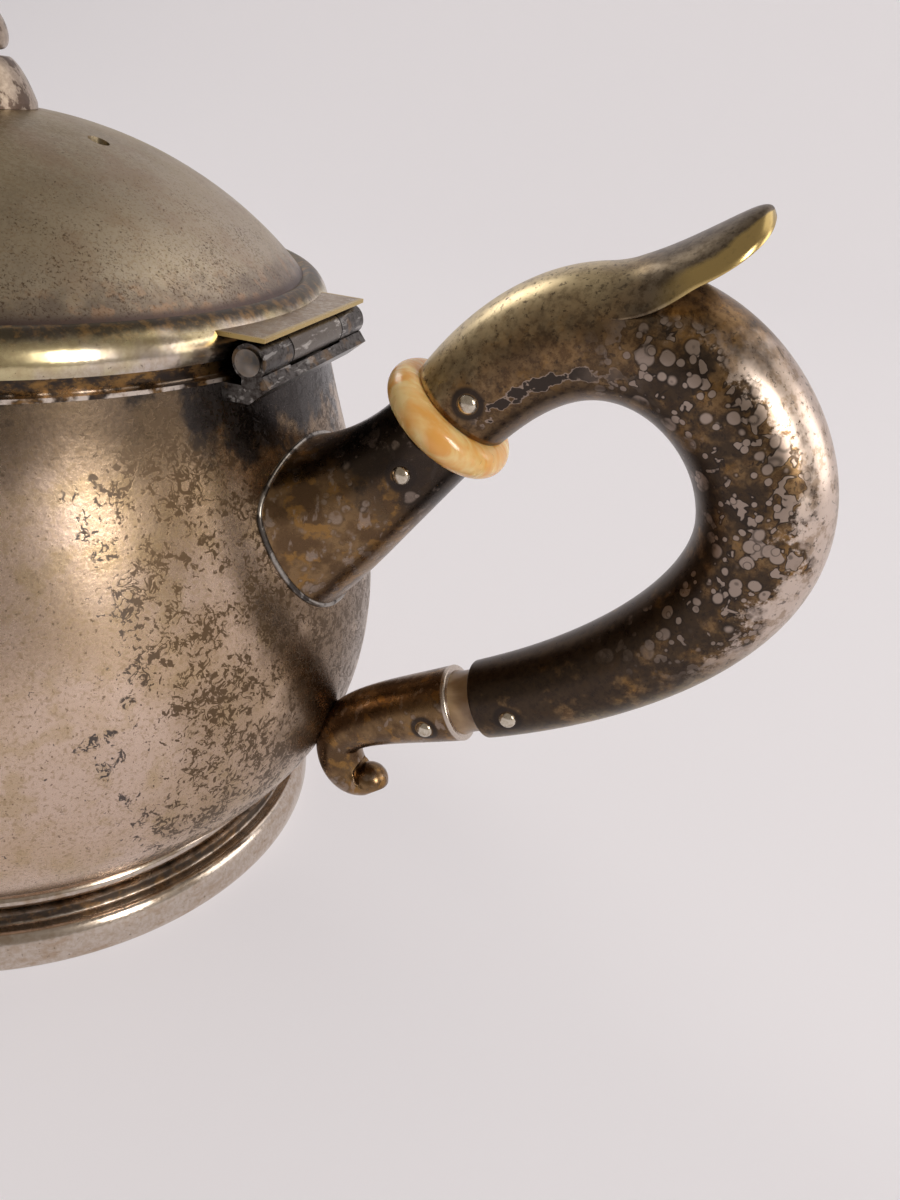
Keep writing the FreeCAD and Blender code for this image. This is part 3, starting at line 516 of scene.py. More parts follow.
def seated(rows):
    """Moves points that lie inside the bowl out to the middle of its wall, along the radius."""
    radius = np.hypot(rows[..., 0], rows[..., 1])
    wall = bowl_radius(rows[..., 2]) - WALL_MIDDLE
    grow = np.maximum(wall / np.maximum(radius, TINY), 1.0)
    return np.stack([rows[..., 0] * grow, rows[..., 1] * grow, rows[..., 2]], axis=-1)


# %% [markdown]
# ### Handle loop
# A hollow cast loop, thickest at its back. Three curves make its line: up from the ivory ring to
# the peak, round the back, and down to the spool. Each pull says how far a curve keeps to its
# starting or ending direction.

# %% Handle loop
UPPER_JOINT = spot(79.8, 90.1)
UPPER_AXIS = heading(54)
RING_HALF = 2.75
LOWER_JOINT = spot(88.6, 43.1)
LOWER_AXIS = heading(26)
SPOOL_HALF = 2.0
LOOP_START = UPPER_JOINT + UPPER_AXIS * RING_HALF
LOOP_PEAK = LOOP_START + spot(21.4, 13.8)
LOOP_BACK = spot(126.4, 82.0)
LOOP_END = LOWER_JOINT + LOWER_AXIS * SPOOL_HALF
START_PULL = UPPER_AXIS * 7.0
PEAK_PULLS = (spot(10.0, 0), spot(12.6, 0))
BACK_PULLS = (spot(0, 12.0), spot(0, 13.0))
END_PULL = LOWER_AXIS * 24.0
LOOP_CURVES = [
    [LOOP_START, LOOP_START + START_PULL, LOOP_PEAK - PEAK_PULLS[0], LOOP_PEAK],
    [LOOP_PEAK, LOOP_PEAK + PEAK_PULLS[1], LOOP_BACK + BACK_PULLS[0], LOOP_BACK],
    [LOOP_BACK, LOOP_BACK - BACK_PULLS[1], LOOP_END + END_PULL, LOOP_END],
]
LOOP_RADII = [7.9, 9.2, 9.4, 6.5]
LOOP_STEPS = 40


def smooth_along(values, steps):
    """Straight blends between values, then averaged over half a step to round their corners."""
    share = np.linspace(0, len(values) - 1, steps * (len(values) - 1) + 1)
    raw = np.interp(share, np.arange(len(values)), values)
    half = steps // 4
    padded = np.pad(raw, half, mode="reflect", reflect_type="odd")
    return np.convolve(padded, np.ones(2 * half + 1) / (2 * half + 1), mode="valid")


loop_points, loop_tangents = path_of(LOOP_CURVES, LOOP_STEPS)
loop_radius = smooth_along(LOOP_RADII, LOOP_STEPS)
loop_rows = rounded_ends(ovals(loop_points, loop_tangents, loop_radius, loop_radius))
make_piece("handle_skin", loop_rows, "pot", ["handle_loop"])

# %% [markdown]
# ### Thumb leaf
# A blade that peels away from the top of the loop just past its peak, with its sides drawn down
# like a roof, and curls up to a round tip. A separate blade stuck on would show a hard joint, so
# its first rings lie on the loop itself, and the metal seems to flow from one into the other.

# %% Thumb leaf
CREST_START = spot(98.0, 114.6)
CREST_TIP = spot(117.3, 124.7)
CREST_PULLS = (heading(10) * 7.0, heading(32) * 8.0)
CREST_CURVE = [CREST_START, CREST_START + CREST_PULLS[0], CREST_TIP - CREST_PULLS[1], CREST_TIP]
LEAF_HALF_WIDTH = 9.0
LEAF_DROOP = 4.6
LEAF_THICKNESS = 2.3
LEAF_ROOT_X = 90.0
LEAF_ROOT_SHARE = 0.45
LEAF_RINGS = (14, 56)
NARROWS_FROM = 0.45
NARROWEST = 0.9995
SIDE_POWER = 2.6
TIP_POWER = 12
DROOP_POWER = 0.7
LIFT_OFF_X = (96.0, 104.0)
FLANK_LATER = 5.0
LOOP_SIDE_ANGLE = math.radians(69)
ROOF_EDGE = 0.9
LEAF_SUNK = 0.05


def smoothstep(value, low, high):
    """0 below low, 1 above high, and 3 t squared less 2 t cubed between."""
    t = np.clip((value - low) / (high - low), 0, 1)
    return t * t * (3 - 2 * t)


def crest_line():
    """Shares along the leaf and its crest: a straight run in x over the root, then the curve."""
    root = np.linspace(-LEAF_ROOT_SHARE, 0, LEAF_RINGS[0])[:-1]
    share = np.concatenate([root, np.sin(np.linspace(0, np.pi / 2, LEAF_RINGS[1]))])
    crest = bezier(CREST_CURVE, np.clip(share, 0, 1))
    root_x = LEAF_ROOT_X + (CREST_START[0] - LEAF_ROOT_X) * (share / LEAF_ROOT_SHARE + 1)
    crest[:, 0] = np.where(share < 0, root_x, crest[:, 0])
    return share, crest


def rings_on_loop(crest, q, below):
    """Rings that lie on the loop: an arc about the loop's line, as wide as the side angle."""
    rising = slice(0, 2 * LOOP_STEPS)
    centre_z, radius, lean_x, lean_z = [
        np.interp(crest[:, 0], loop_points[rising, 0], values[rising])[:, None, None]
        for values in (loop_points[:, 2], loop_radius, loop_tangents[:, 0], loop_tangents[:, 2])
    ]
    outward = (radius - LEAF_SUNK - below[..., None]) * np.cos(LOOP_SIDE_ANGLE * q)[None, :, None]
    side = radius * np.sin(LOOP_SIDE_ANGLE * q)[None, :, None]
    parts = [crest[:, None, :1] - lean_z * outward, -side, centre_z + lean_x * outward]
    return np.concatenate(parts, axis=2)


def leaf_rows():
    """Rings across the leaf. On each, q runs from edge to edge over the top and back underneath.
    The leaf's height falls from the crest by the droop times (1 - root of 1 - q squared). Width,
    droop and thickness close to a round tip, and near the root the ring blends into the loop's."""
    share, crest = crest_line()
    upward = left_of(unit(np.gradient(crest, axis=0)))[:, None, :]
    narrowing = np.clip((share - NARROWS_FROM) / (1 - NARROWS_FROM), 0, NARROWEST)
    half_width = LEAF_HALF_WIDTH * np.sqrt(1 - narrowing ** SIDE_POWER)
    droop = LEAF_DROOP * (half_width / LEAF_HALF_WIDTH) ** DROOP_POWER
    closing = np.sqrt(1 - narrowing ** TIP_POWER)
    dip = LEAF_THICKNESS / 2 * (1 - closing)
    angle = np.linspace(0, 2 * np.pi, AROUND, endpoint=False)
    q = np.cos(angle)
    roof = (1 - np.sqrt(1 - ROOF_EDGE * q ** 2)) / (1 - math.sqrt(1 - ROOF_EDGE))
    below = LEAF_THICKNESS * closing[:, None] * np.sqrt(np.maximum(-np.sin(angle), 0.0))
    fall = (dip[:, None] + droop[:, None] * roof + below)[..., None]
    sideways = np.array([0.0, -1.0, 0.0])
    leaf_part = crest[:, None, :] - fall * upward + (half_width[:, None] * q)[..., None] * sideways
    lift_from, lift_to = [x + FLANK_LATER * q ** 2 for x in LIFT_OFF_X]
    lift = smoothstep(crest[:, :1], lift_from, lift_to)[..., None]
    return rings_on_loop(crest, q, below) * (1 - lift) + leaf_part * lift


make_piece("leaf_skin", leaf_rows(), "pot", ["thumb_leaf"])

# %% [markdown]
# ### Upper socket
# It is soldered to the bowl and spreads into a deep oval shield with a wire along its edge. The
# skin runs into the bowl's wall. The wire follows the line where the skin leaves the bowl, which is
# found on each lengthwise line of the skin, so the two meet however the socket is shaped.

# %% Upper socket and the wire round its base
SOCKET_END = UPPER_JOINT - UPPER_AXIS * RING_HALF
SOCKET_FOOT_HEIGHT = 73.5
SOCKET_SUNK = 3.4
SOCKET_FOOT = spot(bowl_radius(SOCKET_FOOT_HEIGHT) - SOCKET_SUNK, SOCKET_FOOT_HEIGHT)
SOCKET_PULLS = (heading(12) * 8.0, UPPER_AXIS * 8.0)
SOCKET_CURVE = [SOCKET_FOOT, SOCKET_FOOT + SOCKET_PULLS[0], SOCKET_END - SOCKET_PULLS[1], SOCKET_END]
SOCKET_RADIUS = 7.7
SOCKET_FOOT_SIZE = (16.5, 8.6, 21.0)
SOCKET_STEPS = 60
SOCKET_ROUNDS = (0.01, 0.4)
WIRE_RADIUS = 0.5
WIRE_AROUND = 12


def base_line(rows):
    """Where each lengthwise line of the skin leaves the bowl, by the first sign change outwards."""
    height = np.hypot(rows[..., 0], rows[..., 1]) - bowl_radius(rows[..., 2])
    step = np.clip(np.argmax(height > 0, axis=0), 1, None)
    column = np.arange(rows.shape[1])
    before, after = height[step - 1, column], height[step, column]
    share = (-before / (after - before))[:, None]
    return rows[step - 1, column] * (1 - share) + rows[step, column] * share


def wire_rows(line):
    """Round tube about a closed line: rings across the line's own direction and the bowl's normal."""
    tangents = unit(np.roll(line, -1, axis=0) - np.roll(line, 1, axis=0))
    outward = line * [1, 1, 0]
    outward = unit(outward - (outward * tangents).sum(axis=1, keepdims=True) * tangents)
    side = np.cross(tangents, outward)
    angle = np.linspace(0, 2 * np.pi, WIRE_AROUND, endpoint=False)[None, :, None]
    around = np.cos(angle) * outward[:, None, :] - np.sin(angle) * side[:, None, :]
    return line[:, None, :] + WIRE_RADIUS * around


socket_points, socket_tangents = path_of([SOCKET_CURVE], SOCKET_STEPS)
flare = (1 - np.linspace(0, 1, SOCKET_STEPS + 1)) ** 2
socket_sizes = [SOCKET_RADIUS + (size - SOCKET_RADIUS) * flare for size in SOCKET_FOOT_SIZE]
socket_open = ovals(socket_points, socket_tangents, *socket_sizes)
socket_rows = rounded_ends(seated(socket_open), *SOCKET_ROUNDS)
make_piece("upper_socket_skin", socket_rows, "pot", ["upper_socket"])
wire = wire_rows(base_line(socket_open))
make_piece("socket_wire", wire, "pot", closed_loop=True)

# %% [markdown]
# ### Lower socket
# A smaller cast arm that touches the bowl with the back of a scroll and ends in a solid round
# knob. The scroll is the same kind of skin as the loop, with a tighter turn and a rounder end.

# %% Lower socket with its scroll
SCROLL_START = LOWER_JOINT - LOWER_AXIS * SPOOL_HALF
SCROLL_HEIGHT = 27.5
SCROLL_OFF_BOWL = 3.5
SCROLL_TURN = spot(bowl_radius(SCROLL_HEIGHT) + SCROLL_OFF_BOWL, SCROLL_HEIGHT)
SCROLL_TIP = SCROLL_TURN + spot(6.4, -3.4)
SCROLL_START_PULL = LOWER_AXIS * 12.0
TURN_PULLS = (spot(0, 6.0), spot(0, 7.6))
TIP_PULL = spot(0, 4.6)
SCROLL_CURVES = [
    [SCROLL_START, SCROLL_START - SCROLL_START_PULL, SCROLL_TURN + TURN_PULLS[0], SCROLL_TURN],
    [SCROLL_TURN, SCROLL_TURN - TURN_PULLS[1], SCROLL_TIP - TIP_PULL, SCROLL_TIP],
]
SCROLL_RADII = (6.4, 4.2, 3.3)
SCROLL_ROUNDS = (0.4, 3.2)
SCROLL_STEPS = 48

scroll_points, scroll_tangents = path_of(SCROLL_CURVES, SCROLL_STEPS)
scroll_radius = np.interp(np.linspace(0, 2, 2 * SCROLL_STEPS + 1), [0, 1, 2], SCROLL_RADII)
scroll_open = ovals(scroll_points, scroll_tangents, scroll_radius, scroll_radius)
scroll_rows = seated(rounded_ends(scroll_open, *SCROLL_ROUNDS))
make_piece("lower_socket_skin", scroll_rows, "pot", ["lower_socket"])

# %% [markdown]
# ### Spool
# A short bone spool keeps the lower arm from touching the hot socket. It is a little thinner than
# the two ends that hold it and has a slight waist, a parabola along its axis. Its ends are sunk a
# little into the metal, so no gap shows.

# %% Spool
SPOOL_RADIUS = 5.5
SPOOL_WAIST = 0.35
SPOOL_SUNK = 0.3
SPOOL_RINGS = 25

spool_share = np.linspace(-1, 1, SPOOL_RINGS)
spool_points = LOWER_JOINT + (SPOOL_HALF + SPOOL_SUNK) * spool_share[:, None] * LOWER_AXIS
spool_radius = SPOOL_RADIUS - SPOOL_WAIST * (1 - spool_share ** 2)
spool_rows = ovals(spool_points, np.tile(LOWER_AXIS, (SPOOL_RINGS, 1)), spool_radius, spool_radius)
make_piece("spool_turned", spool_rows, "pot", ["lower_insulator"])

# %% [markdown]
# ### Rivets
# Four pins with domed heads go right through the handle. Each is turned like a lathe piece about
# its own axis: a dome, a flat underside, a thin shank, and the same again on the far side.

# %% Rivets
RIVET_HEAD = 1.4
RIVET_SHANK = 0.9
DOME_HEIGHT = 0.85
DOME_STEPS = 9
HEAD_SKIRT = 1.1
RIVET_AROUND = 40

# Place of the axis in x, reach of the head in y, place of the axis in z.
RIVETS = {
    "upper_socket_rivet": (75.7, 8.78, 82.9),
    "upper_handle_rivet": (84.45, 8.91, 95.05),
    "lower_socket_rivet": (82.55, 6.73, 39.15),
    "lower_handle_rivet": (96.15, 7.5, 45.8),
}


def rivet_rows(x, reach, z):
    """Circles about a line along Y. Radius and place follow a quarter ellipse over each head."""
    angle = np.linspace(0, np.pi / 2, DOME_STEPS)[1:]
    dome_radius = RIVET_HEAD * np.sin(angle)
    dome_place = reach - DOME_HEIGHT * (1 - np.cos(angle))
    half_radius = np.concatenate([dome_radius, [RIVET_HEAD, RIVET_SHANK]])
    half_place = np.concatenate([dome_place, [reach - DOME_HEIGHT - HEAD_SKIRT] * 2])
    radius = np.concatenate([half_radius, half_radius[::-1]])[:, None]
    place = np.concatenate([half_place, -half_place[::-1]])[:, None]
    turn_angle = np.linspace(0, 2 * np.pi, RIVET_AROUND, endpoint=False)
    ring_x = x + radius * np.cos(turn_angle)
    ring_z = z + radius * np.sin(turn_angle)
    return np.stack([ring_x, place + 0 * ring_x, ring_z], axis=-1)[::-1]


for node_name, (x, reach, z) in RIVETS.items():
    make_piece(node_name + "_turned", rivet_rows(x, reach, z), "pot", [node_name])

# %% [markdown]
# ### Spout
# The photograph leaves the spout out. A plain tapering swan neck is usual on such a pot. Its rings
# run up the outside, over the lip and back down the inside, so the mouth is really open.

# %% Spout
SPOUT_HEIGHT = 42.0
SPOUT_SUNK = 6.0
SPOUT_ROOT = spot(-bowl_radius(SPOUT_HEIGHT) + SPOUT_SUNK, SPOUT_HEIGHT)
SPOUT_TIP = spot(-131.8, 98.0)
SPOUT_PULLS = (heading(178) * 38.0, heading(140) * 30.0)
SPOUT_CURVE = [SPOUT_ROOT, SPOUT_ROOT + SPOUT_PULLS[0], SPOUT_TIP - SPOUT_PULLS[1], SPOUT_TIP]
SPOUT_TIP_RADIUS = 6.3
SPOUT_ROOT_SIZE = (14.5, 17.0)
SPOUT_WALL = 1.2
SPOUT_TAPER = 1.6
SPOUT_STEPS = 80
LIP_RISE = 0.3


def spout_rows():
    """Ovals whose size falls from root to tip as (1 - share) to the power of the taper. The inner
    rings are smaller by the wall, and one ring half way between them makes the round lip."""
    points, tangents = path_of([SPOUT_CURVE], SPOUT_STEPS)
    fade = (1 - np.linspace(0, 1, SPOUT_STEPS + 1)) ** SPOUT_TAPER
    width, height = [SPOUT_TIP_RADIUS + (size - SPOUT_TIP_RADIUS) * fade for size in SPOUT_ROOT_SIZE]
    outside = ovals(points, tangents, width, height)
    inside = ovals(points, tangents, width - SPOUT_WALL, height - SPOUT_WALL)[::-1]
    lip = (outside[-1] + inside[0]) / 2 + tangents[-1] * SPOUT_WALL * LIP_RISE
    return seated(np.concatenate([outside, lip[None], inside]))


make_piece("spout_skin", spout_rows(), "pot", ["spout"], closed_loop=True)

# %% [markdown]
# ## Finishes
# Old silver is never one colour. A thin brown film, black patches, pale spots where it was wiped
# and bright worn edges lie over each other. A photograph could be laid on, but it would stretch and
# carry its own light along. Each finish below builds those layers from noise instead. In a call
# such as noise(6.0), the number is the width of a patch in mm.
#
# ### Bowl
# Warm beige silver with a fine grain. Small worm-like flecks crowd together towards the handle and
# turn brown there, and the metal under the mouth and round the socket is nearly black. A band below
# the lid is painted shade, dark brown and near black on the side away from the handle. Thin worms
# are the places where a noise passes through its middle value. Sides are told apart by the cosine
# of the direction round the pot.

# %% Bowl
BEIGE = (0.56, 0.415, 0.295)
ROSE = (0.64, 0.49, 0.395)
STRAW = (0.47, 0.345, 0.19)
BLUE_BLACK = (0.065, 0.058, 0.060)
BROWN = (0.105, 0.066, 0.036)
FILM = (0.31, 0.21, 0.115)
BLACK = (0.040, 0.036, 0.036)
# The next two colours are painted shade below the lid.
SHADE_BROWN = (0.125, 0.088, 0.057)
SHADE_BLACK = (0.058, 0.041, 0.029)

CROWDED_SIDE = (0.60, 0.94)
FAR_SIDE = (0.10, 0.45)
# Side range over which the painted shade below the lid turns from near black to dark brown.
DEEPER_SHADE_SIDE = (0.42, 0.72)
BLACK_SIDE = (0.86, 0.97)
LIMB_SIDE = (0.935, 0.99)
LIMB_HEIGHTS = (24.0, 40.0)
# Heights over which the painted shade below the lid sets in.
SHADE_HEIGHTS = (80.5, 91.0)
BLACK_HEIGHTS = (93.5, 98.5)
BLACK_DROP = 12.0
RAGGED_REACH = 26.0


def towards_handle(f):
    """Cosine of the direction round the pot: 1 at the handle, 0 at the sides, -1 at the spout."""
    radius = f.math("SQRT", f.plus(f.times(f.x, f.x), f.times(f.y, f.y)))
    return f.math("DIVIDE", f.x, radius)


def worms(f, size, width):
    """Thin winding lines where a noise lies within the width of its middle value."""
    gap = f.size_of(f.minus(f.noise(size, 3.0, 0.6, 0.7), MIDDLE))
    return f.step(gap, width * 0.5, width, 1.0, 0.0)


def flecks(f, crowd, patches):
    """Blots and worms. Both need less noise to appear where they crowd or lie in a patch."""
    limit = f.minus(f.step(crowd, 0.15, 1.0, 0.70, 0.55), f.times(patches, 0.34))
    blots = f.step(f.minus(f.noise(1.2, 4.0, 0.6, 0.6), limit), 0.0, 0.03)
    here = f.plus(f.times(f.minus(crowd, MIDDLE), 0.45), f.uneven(3.0, 2.0))
    gate = f.step(f.plus(patches, here), 0.14, 0.20)
    return f.larger(blots, f.times(gate, worms(f, 2.0, 0.045)))


def bowl_finish():
    f = Finish("bowl_tarnish_and_shade")
    direction = towards_handle(f)
    far = f.step(direction, *FAR_SIDE, 1.0, 0.0)
    far_patches = f.times(far, f.step(f.noise(22.0, 3.0, shift=60.0), 0.45, 0.65))
    crowd = f.larger(f.step(direction, *CROWDED_SIDE), f.times(far_patches, 0.6))
    grain = f.noise(0.6, 3.0, 0.65)
    patches = f.uneven(10.0, shift=40.0)
    colour = f.mix(f.step(f.noise(18.0, 3.0), 0.38, 0.62), BEIGE, ROSE)
    colour = f.mix(f.times(f.step(f.noise(6.0, 4.0), 0.50, 0.66), 0.55), colour, STRAW)
    colour = f.mix(f.times(f.step(f.plus(crowd, patches), 0.55, 1.05), 0.60), colour, FILM)
    colour = f.mix(f.step(grain, 0.34, 0.50, 0.5, 0.0), colour, FILM)
    fleck = flecks(f, crowd, patches)
    fleck_tone = f.mix(f.step(crowd, 0.4, 0.9), BLUE_BLACK, BROWN)
    colour = f.mix(f.times(fleck, 0.92), colour, fleck_tone)
    pepper = f.step(f.noise(0.5, 2.0, shift=9.0), 0.64, 0.70)
    colour = f.mix(f.times(pepper, 0.65), colour, BROWN)
    ragged = f.times(f.uneven(6.0, 4.0, 0.65, shift=20.0), RAGGED_REACH)
    # Painted shade below the lid: dark brown, near black on the side away from the handle.
    under_lid_shade = f.step(f.plus(f.z, f.times(ragged, 0.45)), *SHADE_HEIGHTS)
    under_lid_shade_tone = f.mix(f.step(direction, *DEEPER_SHADE_SIDE), SHADE_BLACK, SHADE_BROWN)
    colour = f.mix(f.times(under_lid_shade, 0.88), colour, under_lid_shade_tone)
    limb = f.step(f.plus(direction, f.times(ragged, 0.006)), *LIMB_SIDE)
    limb = f.times(limb, f.step(f.z, *LIMB_HEIGHTS))
    colour = f.mix(f.times(limb, 0.68), colour, BROWN)
    drop = f.plus(ragged, f.times(f.step(direction, *BLACK_SIDE), BLACK_DROP))
    mouth = f.step(f.plus(f.z, drop), *BLACK_HEIGHTS)
    colour = f.mix(f.times(mouth, 0.93), colour, BLACK)
    rough = f.plus(f.step(grain, 0.3, 0.7, 0.30, 0.24), f.times(fleck, 0.15))
    f.bump(f.plus(f.noise(0.7, 2.0, shift=3.0), f.times(fleck, -0.5)), 0.30, 0.06)
    return f.finish(colour, rough)


bowl_silver = bowl_finish()

# %% [markdown]
# ### Lid
# Olive-gold grey that turns to stone grey towards the hinge, a painted reflection of the pale wall
# on that side, with fine pepper specks that thicken towards the edge, and a dark line where the
# dome meets the rim. Height tells how near the edge a point is.

# %% Lid
KHAKI = (0.38, 0.305, 0.165)
OLIVE = (0.25, 0.195, 0.105)
# Stone grey: the metal's own tone in the dust, and a painted reflection of the pale wall towards the
# hinge.
STONE_GREY_AND_REFLECTION = (0.56, 0.485, 0.40)
PLUM = (0.105, 0.075, 0.070)
RUST = (0.30, 0.165, 0.10)

# Where along x the painted reflection of the pale wall sets in.
REFLECTION_FROM_X = (8.0, 50.0)
SPECK_HEIGHTS = (103.0, 120.0)
EDGE_HEIGHTS = (103.6, 107.5)
SEAM_HEIGHTS = (102.8, 103.9)


def lid_finish():
    f = Finish("lid_tarnish_and_reflection")
    colour = f.mix(f.step(f.noise(22.0, 2.0), 0.38, 0.62), KHAKI, OLIVE)
    # Painted reflection: paler stone grey towards the hinge side.
    colour = f.mix(f.step(f.x, *REFLECTION_FROM_X, 0.0, 0.85), colour, STONE_GREY_AND_REFLECTION)
    dust = f.times(f.step(f.noise(0.7, 4.0, 0.75), 0.42, 0.58), 0.5)
    colour = f.mix(dust, colour, f.mix(f.noise(5.0), KHAKI, STONE_GREY_AND_REFLECTION))
    grain = f.noise(0.5, 3.0, 0.7, shift=15.0)
    colour = f.mix(f.step(grain, 0.36, 0.48, 0.45, 0.0), colour, FILM)
    rusty = f.step(f.noise(8.0, 4.0, 0.6, shift=33.0), 0.50, 0.66)
    colour = f.mix(f.times(rusty, 0.22), colour, RUST)
    low = f.step(f.z, *SPECK_HEIGHTS, 1.0, 0.0)
    limit = f.step(low, 0.0, 1.0, 0.605, 0.55)
    clumps = f.times(f.uneven(5.0, shift=12.0), 0.22)
    specks = f.step(f.minus(f.plus(f.noise(0.36, 4.0, 0.7, 0.6), clumps), limit), 0.0, 0.05)
    colour = f.mix(f.times(specks, 0.8), colour, BROWN)
    ragged = f.times(f.uneven(4.0, 4.0, 0.65), 7.0)
    edge = f.step(f.plus(f.z, ragged), *EDGE_HEIGHTS, 1.0, 0.0)
    stain = f.step(f.noise(2.6, 4.0, shift=5.0), 0.50, 0.62)
    colour = f.mix(f.times(edge, 0.6), colour, f.mix(stain, PLUM, RUST))
    colour = f.mix(f.step(f.z, *SEAM_HEIGHTS, 0.9, 0.0), colour, PLUM)
    f.bump(f.noise(0.6, 3.0), 0.22, 0.05)
    return f.finish(colour, f.step(f.noise(6.0, 3.0), 0.3, 0.7, 0.36, 0.44))


lid_silver = lid_finish()

# %% [markdown]
# ### Rim, collar and foot
# The rim and the foot are handled and rubbed, so they stay bright, and tarnish keeps to their
# grooves. On the rim that dark spreads over its top face as well, a painted dark reflection of the
# room above. One recipe takes the heights where the grooves lie. The collar sits in the shade under
# the rim, and its near black is painted shade over its tarnish, apart from the edge of its lip.

# %% Rim, collar and foot
CHAMPAGNE = (0.56, 0.48, 0.285)
PEWTER = (0.58, 0.505, 0.44)
AMBER = (0.30, 0.165, 0.055)
SOOT = (0.038, 0.030, 0.026)

# Height of the rim's groove; its dark also covers the rim's top face as a painted dark reflection.
RIM_GROOVE_AND_DARK_TOP = (103.3,)
FOOT_GROOVES = (13.0, 8.0)
LIP_FOOT = (94.3, 94.6)
LIP_TOP = (95.0, 95.3)


def rubbed_finish(name, bright, grooves, spread, stain_share, rough):
    """Bright metal that darkens within a spread of the groove heights, with ragged stains."""
    f = Finish(name)
    ragged = f.times(f.uneven(3.5, 4.0, 0.65), spread)
    colour = f.mix(f.step(f.noise(9.0, 3.0), 0.4, 0.65), bright, PEWTER)
    colour = f.mix(f.times(f.step(f.noise(0.8, 4.0, 0.7), 0.42, 0.6), 0.25), colour, FILM)
    streak = f.step(f.noise(5.0, 4.0, 0.7, stretch=(1.0, 1.0, 2.5)), 0.46, 0.66)
    colour = f.mix(f.times(streak, stain_share), colour, AMBER)
    deep = f.mix(f.step(f.noise(2.0, 4.0, 0.7, shift=3.0), 0.45, 0.65, 0.0, 0.7), SOOT, AMBER)
    dark = 0.0
    for height in grooves:
        gap = f.size_of(f.minus(f.plus(f.z, ragged), height))
        dark = f.larger(dark, f.step(gap, spread * 0.4, spread, 1.0, 0.0))
    colour = f.mix(f.times(dark, 0.88), colour, deep)
    specks = f.step(f.noise(0.5, 2.0), 0.66, 0.72)
    colour = f.mix(f.times(specks, 0.6), colour, BROWN)
    f.bump(f.noise(1.6, 3.0), 0.10, 0.05)
    return f.finish(colour, f.plus(rough, f.times(dark, 0.2)))


def collar_finish():
    """Ring painted near black as shade under the rim, over its tarnish, with amber stains; only the
    edge of its lip is rubbed pale.
    """
    f = Finish("collar_tarnish_and_shade")
    stain = f.step(f.noise(5.0, 5.0, 0.75, stretch=(1.0, 1.0, 2.0)), 0.42, 0.66)
    # Near black base: painted shade under the rim, over the collar's tarnish.
    colour = f.mix(f.times(stain, 0.75), SOOT, AMBER)
    lip = f.times(f.step(f.z, *LIP_FOOT), f.step(f.z, *LIP_TOP, 1.0, 0.0))
    worn = f.step(f.noise(3.0, 3.0, shift=4.0), 0.42, 0.55)
    colour = f.mix(f.times(lip, worn), colour, PEWTER)
    f.bump(f.noise(1.2, 3.0), 0.15, 0.05)
    return f.finish(colour, f.step(stain, 0.0, 1.0, 0.24, 0.34))


# The wide spread darkens the rim's top face: a painted dark reflection, besides the tarnish in its
# groove.
rim_silver = rubbed_finish("rim_polish_and_dark_reflection", CHAMPAGNE, RIM_GROOVE_AND_DARK_TOP, 2.4, 0.12, 0.20)
collar_silver = collar_finish()
foot_silver = rubbed_finish("foot_polish", PEWTER, FOOT_GROOVES, 1.3, 0.40, 0.20)

# %% [markdown]
# ### Handle
# The most worn piece: olive-gold on top, painted lighter there as a highlight, brown on the sides,
# long black patches inside the bend, and round pale spots where drops once lay. Under the leaf the
# loop keeps its dark tarnish colour as painted shade. Every rivet sits in a dark ring. The skin's UV
# map says how far round the section a point lies, so each tone keeps to its side of the loop.

# %% Spots and rivet halos
SPOT = (0.38, 0.30, 0.25)

SPOT_SIZES = ((4.4, 0.24), (2.7, 0.24), (1.7, 0.20))
SPOT_CHANCE = 0.26
HALO_OUTSIDE = (2.1, 0.6)
HALO_INSIDE = (1.4, 0.25)
RIVET_SPOTS = [
    (x, side * (reach - DOME_HEIGHT), z) for x, reach, z in RIVETS.values() for side in (-1, 1)
]


def spotted(f, colour, share):
    """Round pale spots of three sizes, a little ragged, each with a faint dark outline."""
    for size, limit in SPOT_SIZES:
        gap, chance = f.cells(size, 0.9, 0.30)
        present = f.step(chance, SPOT_CHANCE, SPOT_CHANCE + 0.04)
        radius = f.step(chance, SPOT_CHANCE, 0.9, limit * 0.7, limit * 1.5)
        inside = f.minus(gap, radius)
        outline = f.times(f.step(inside, 0.04, 0.14, 1.0, 0.0), present, share)
        disc = f.times(f.step(inside, -0.03, 0.04, 1.0, 0.0), present, share)
        colour = f.mix(f.times(outline, 0.6), colour, SOOT)
        colour = f.mix(f.times(disc, 0.92), colour, SPOT)
    return colour


def ringed_rivets(f, colour):
    """A dark ring round each rivet head: a wide soft disc less a narrow one."""
    halo = f.minus(f.near(RIVET_SPOTS, *HALO_OUTSIDE), f.near(RIVET_SPOTS, *HALO_INSIDE))
    return f.mix(f.times(halo, 0.9), colour, SOOT)


# %% Handle
# Olive-gold of the worn top, made lighter as a painted highlight.
GILT_HIGHLIGHT = (0.64, 0.53, 0.33)
UMBER = (0.125, 0.075, 0.040)
TAN = (0.24, 0.15, 0.075)
BARE = (0.64, 0.53, 0.46)

ARM_END_X = (97.0, 109.0)
ARM_HEIGHTS = (74.0, 84.0)
LOW_HEIGHTS = (58.0, 74.0)
# Above these heights the loop keeps its dark tarnish colour: painted shade under the leaf.
BARE_ENDS_IN_LEAF_SHADE = (103.0, 111.0)
WANDER_REACH = 14.0
STRIP_TURN = 0.36


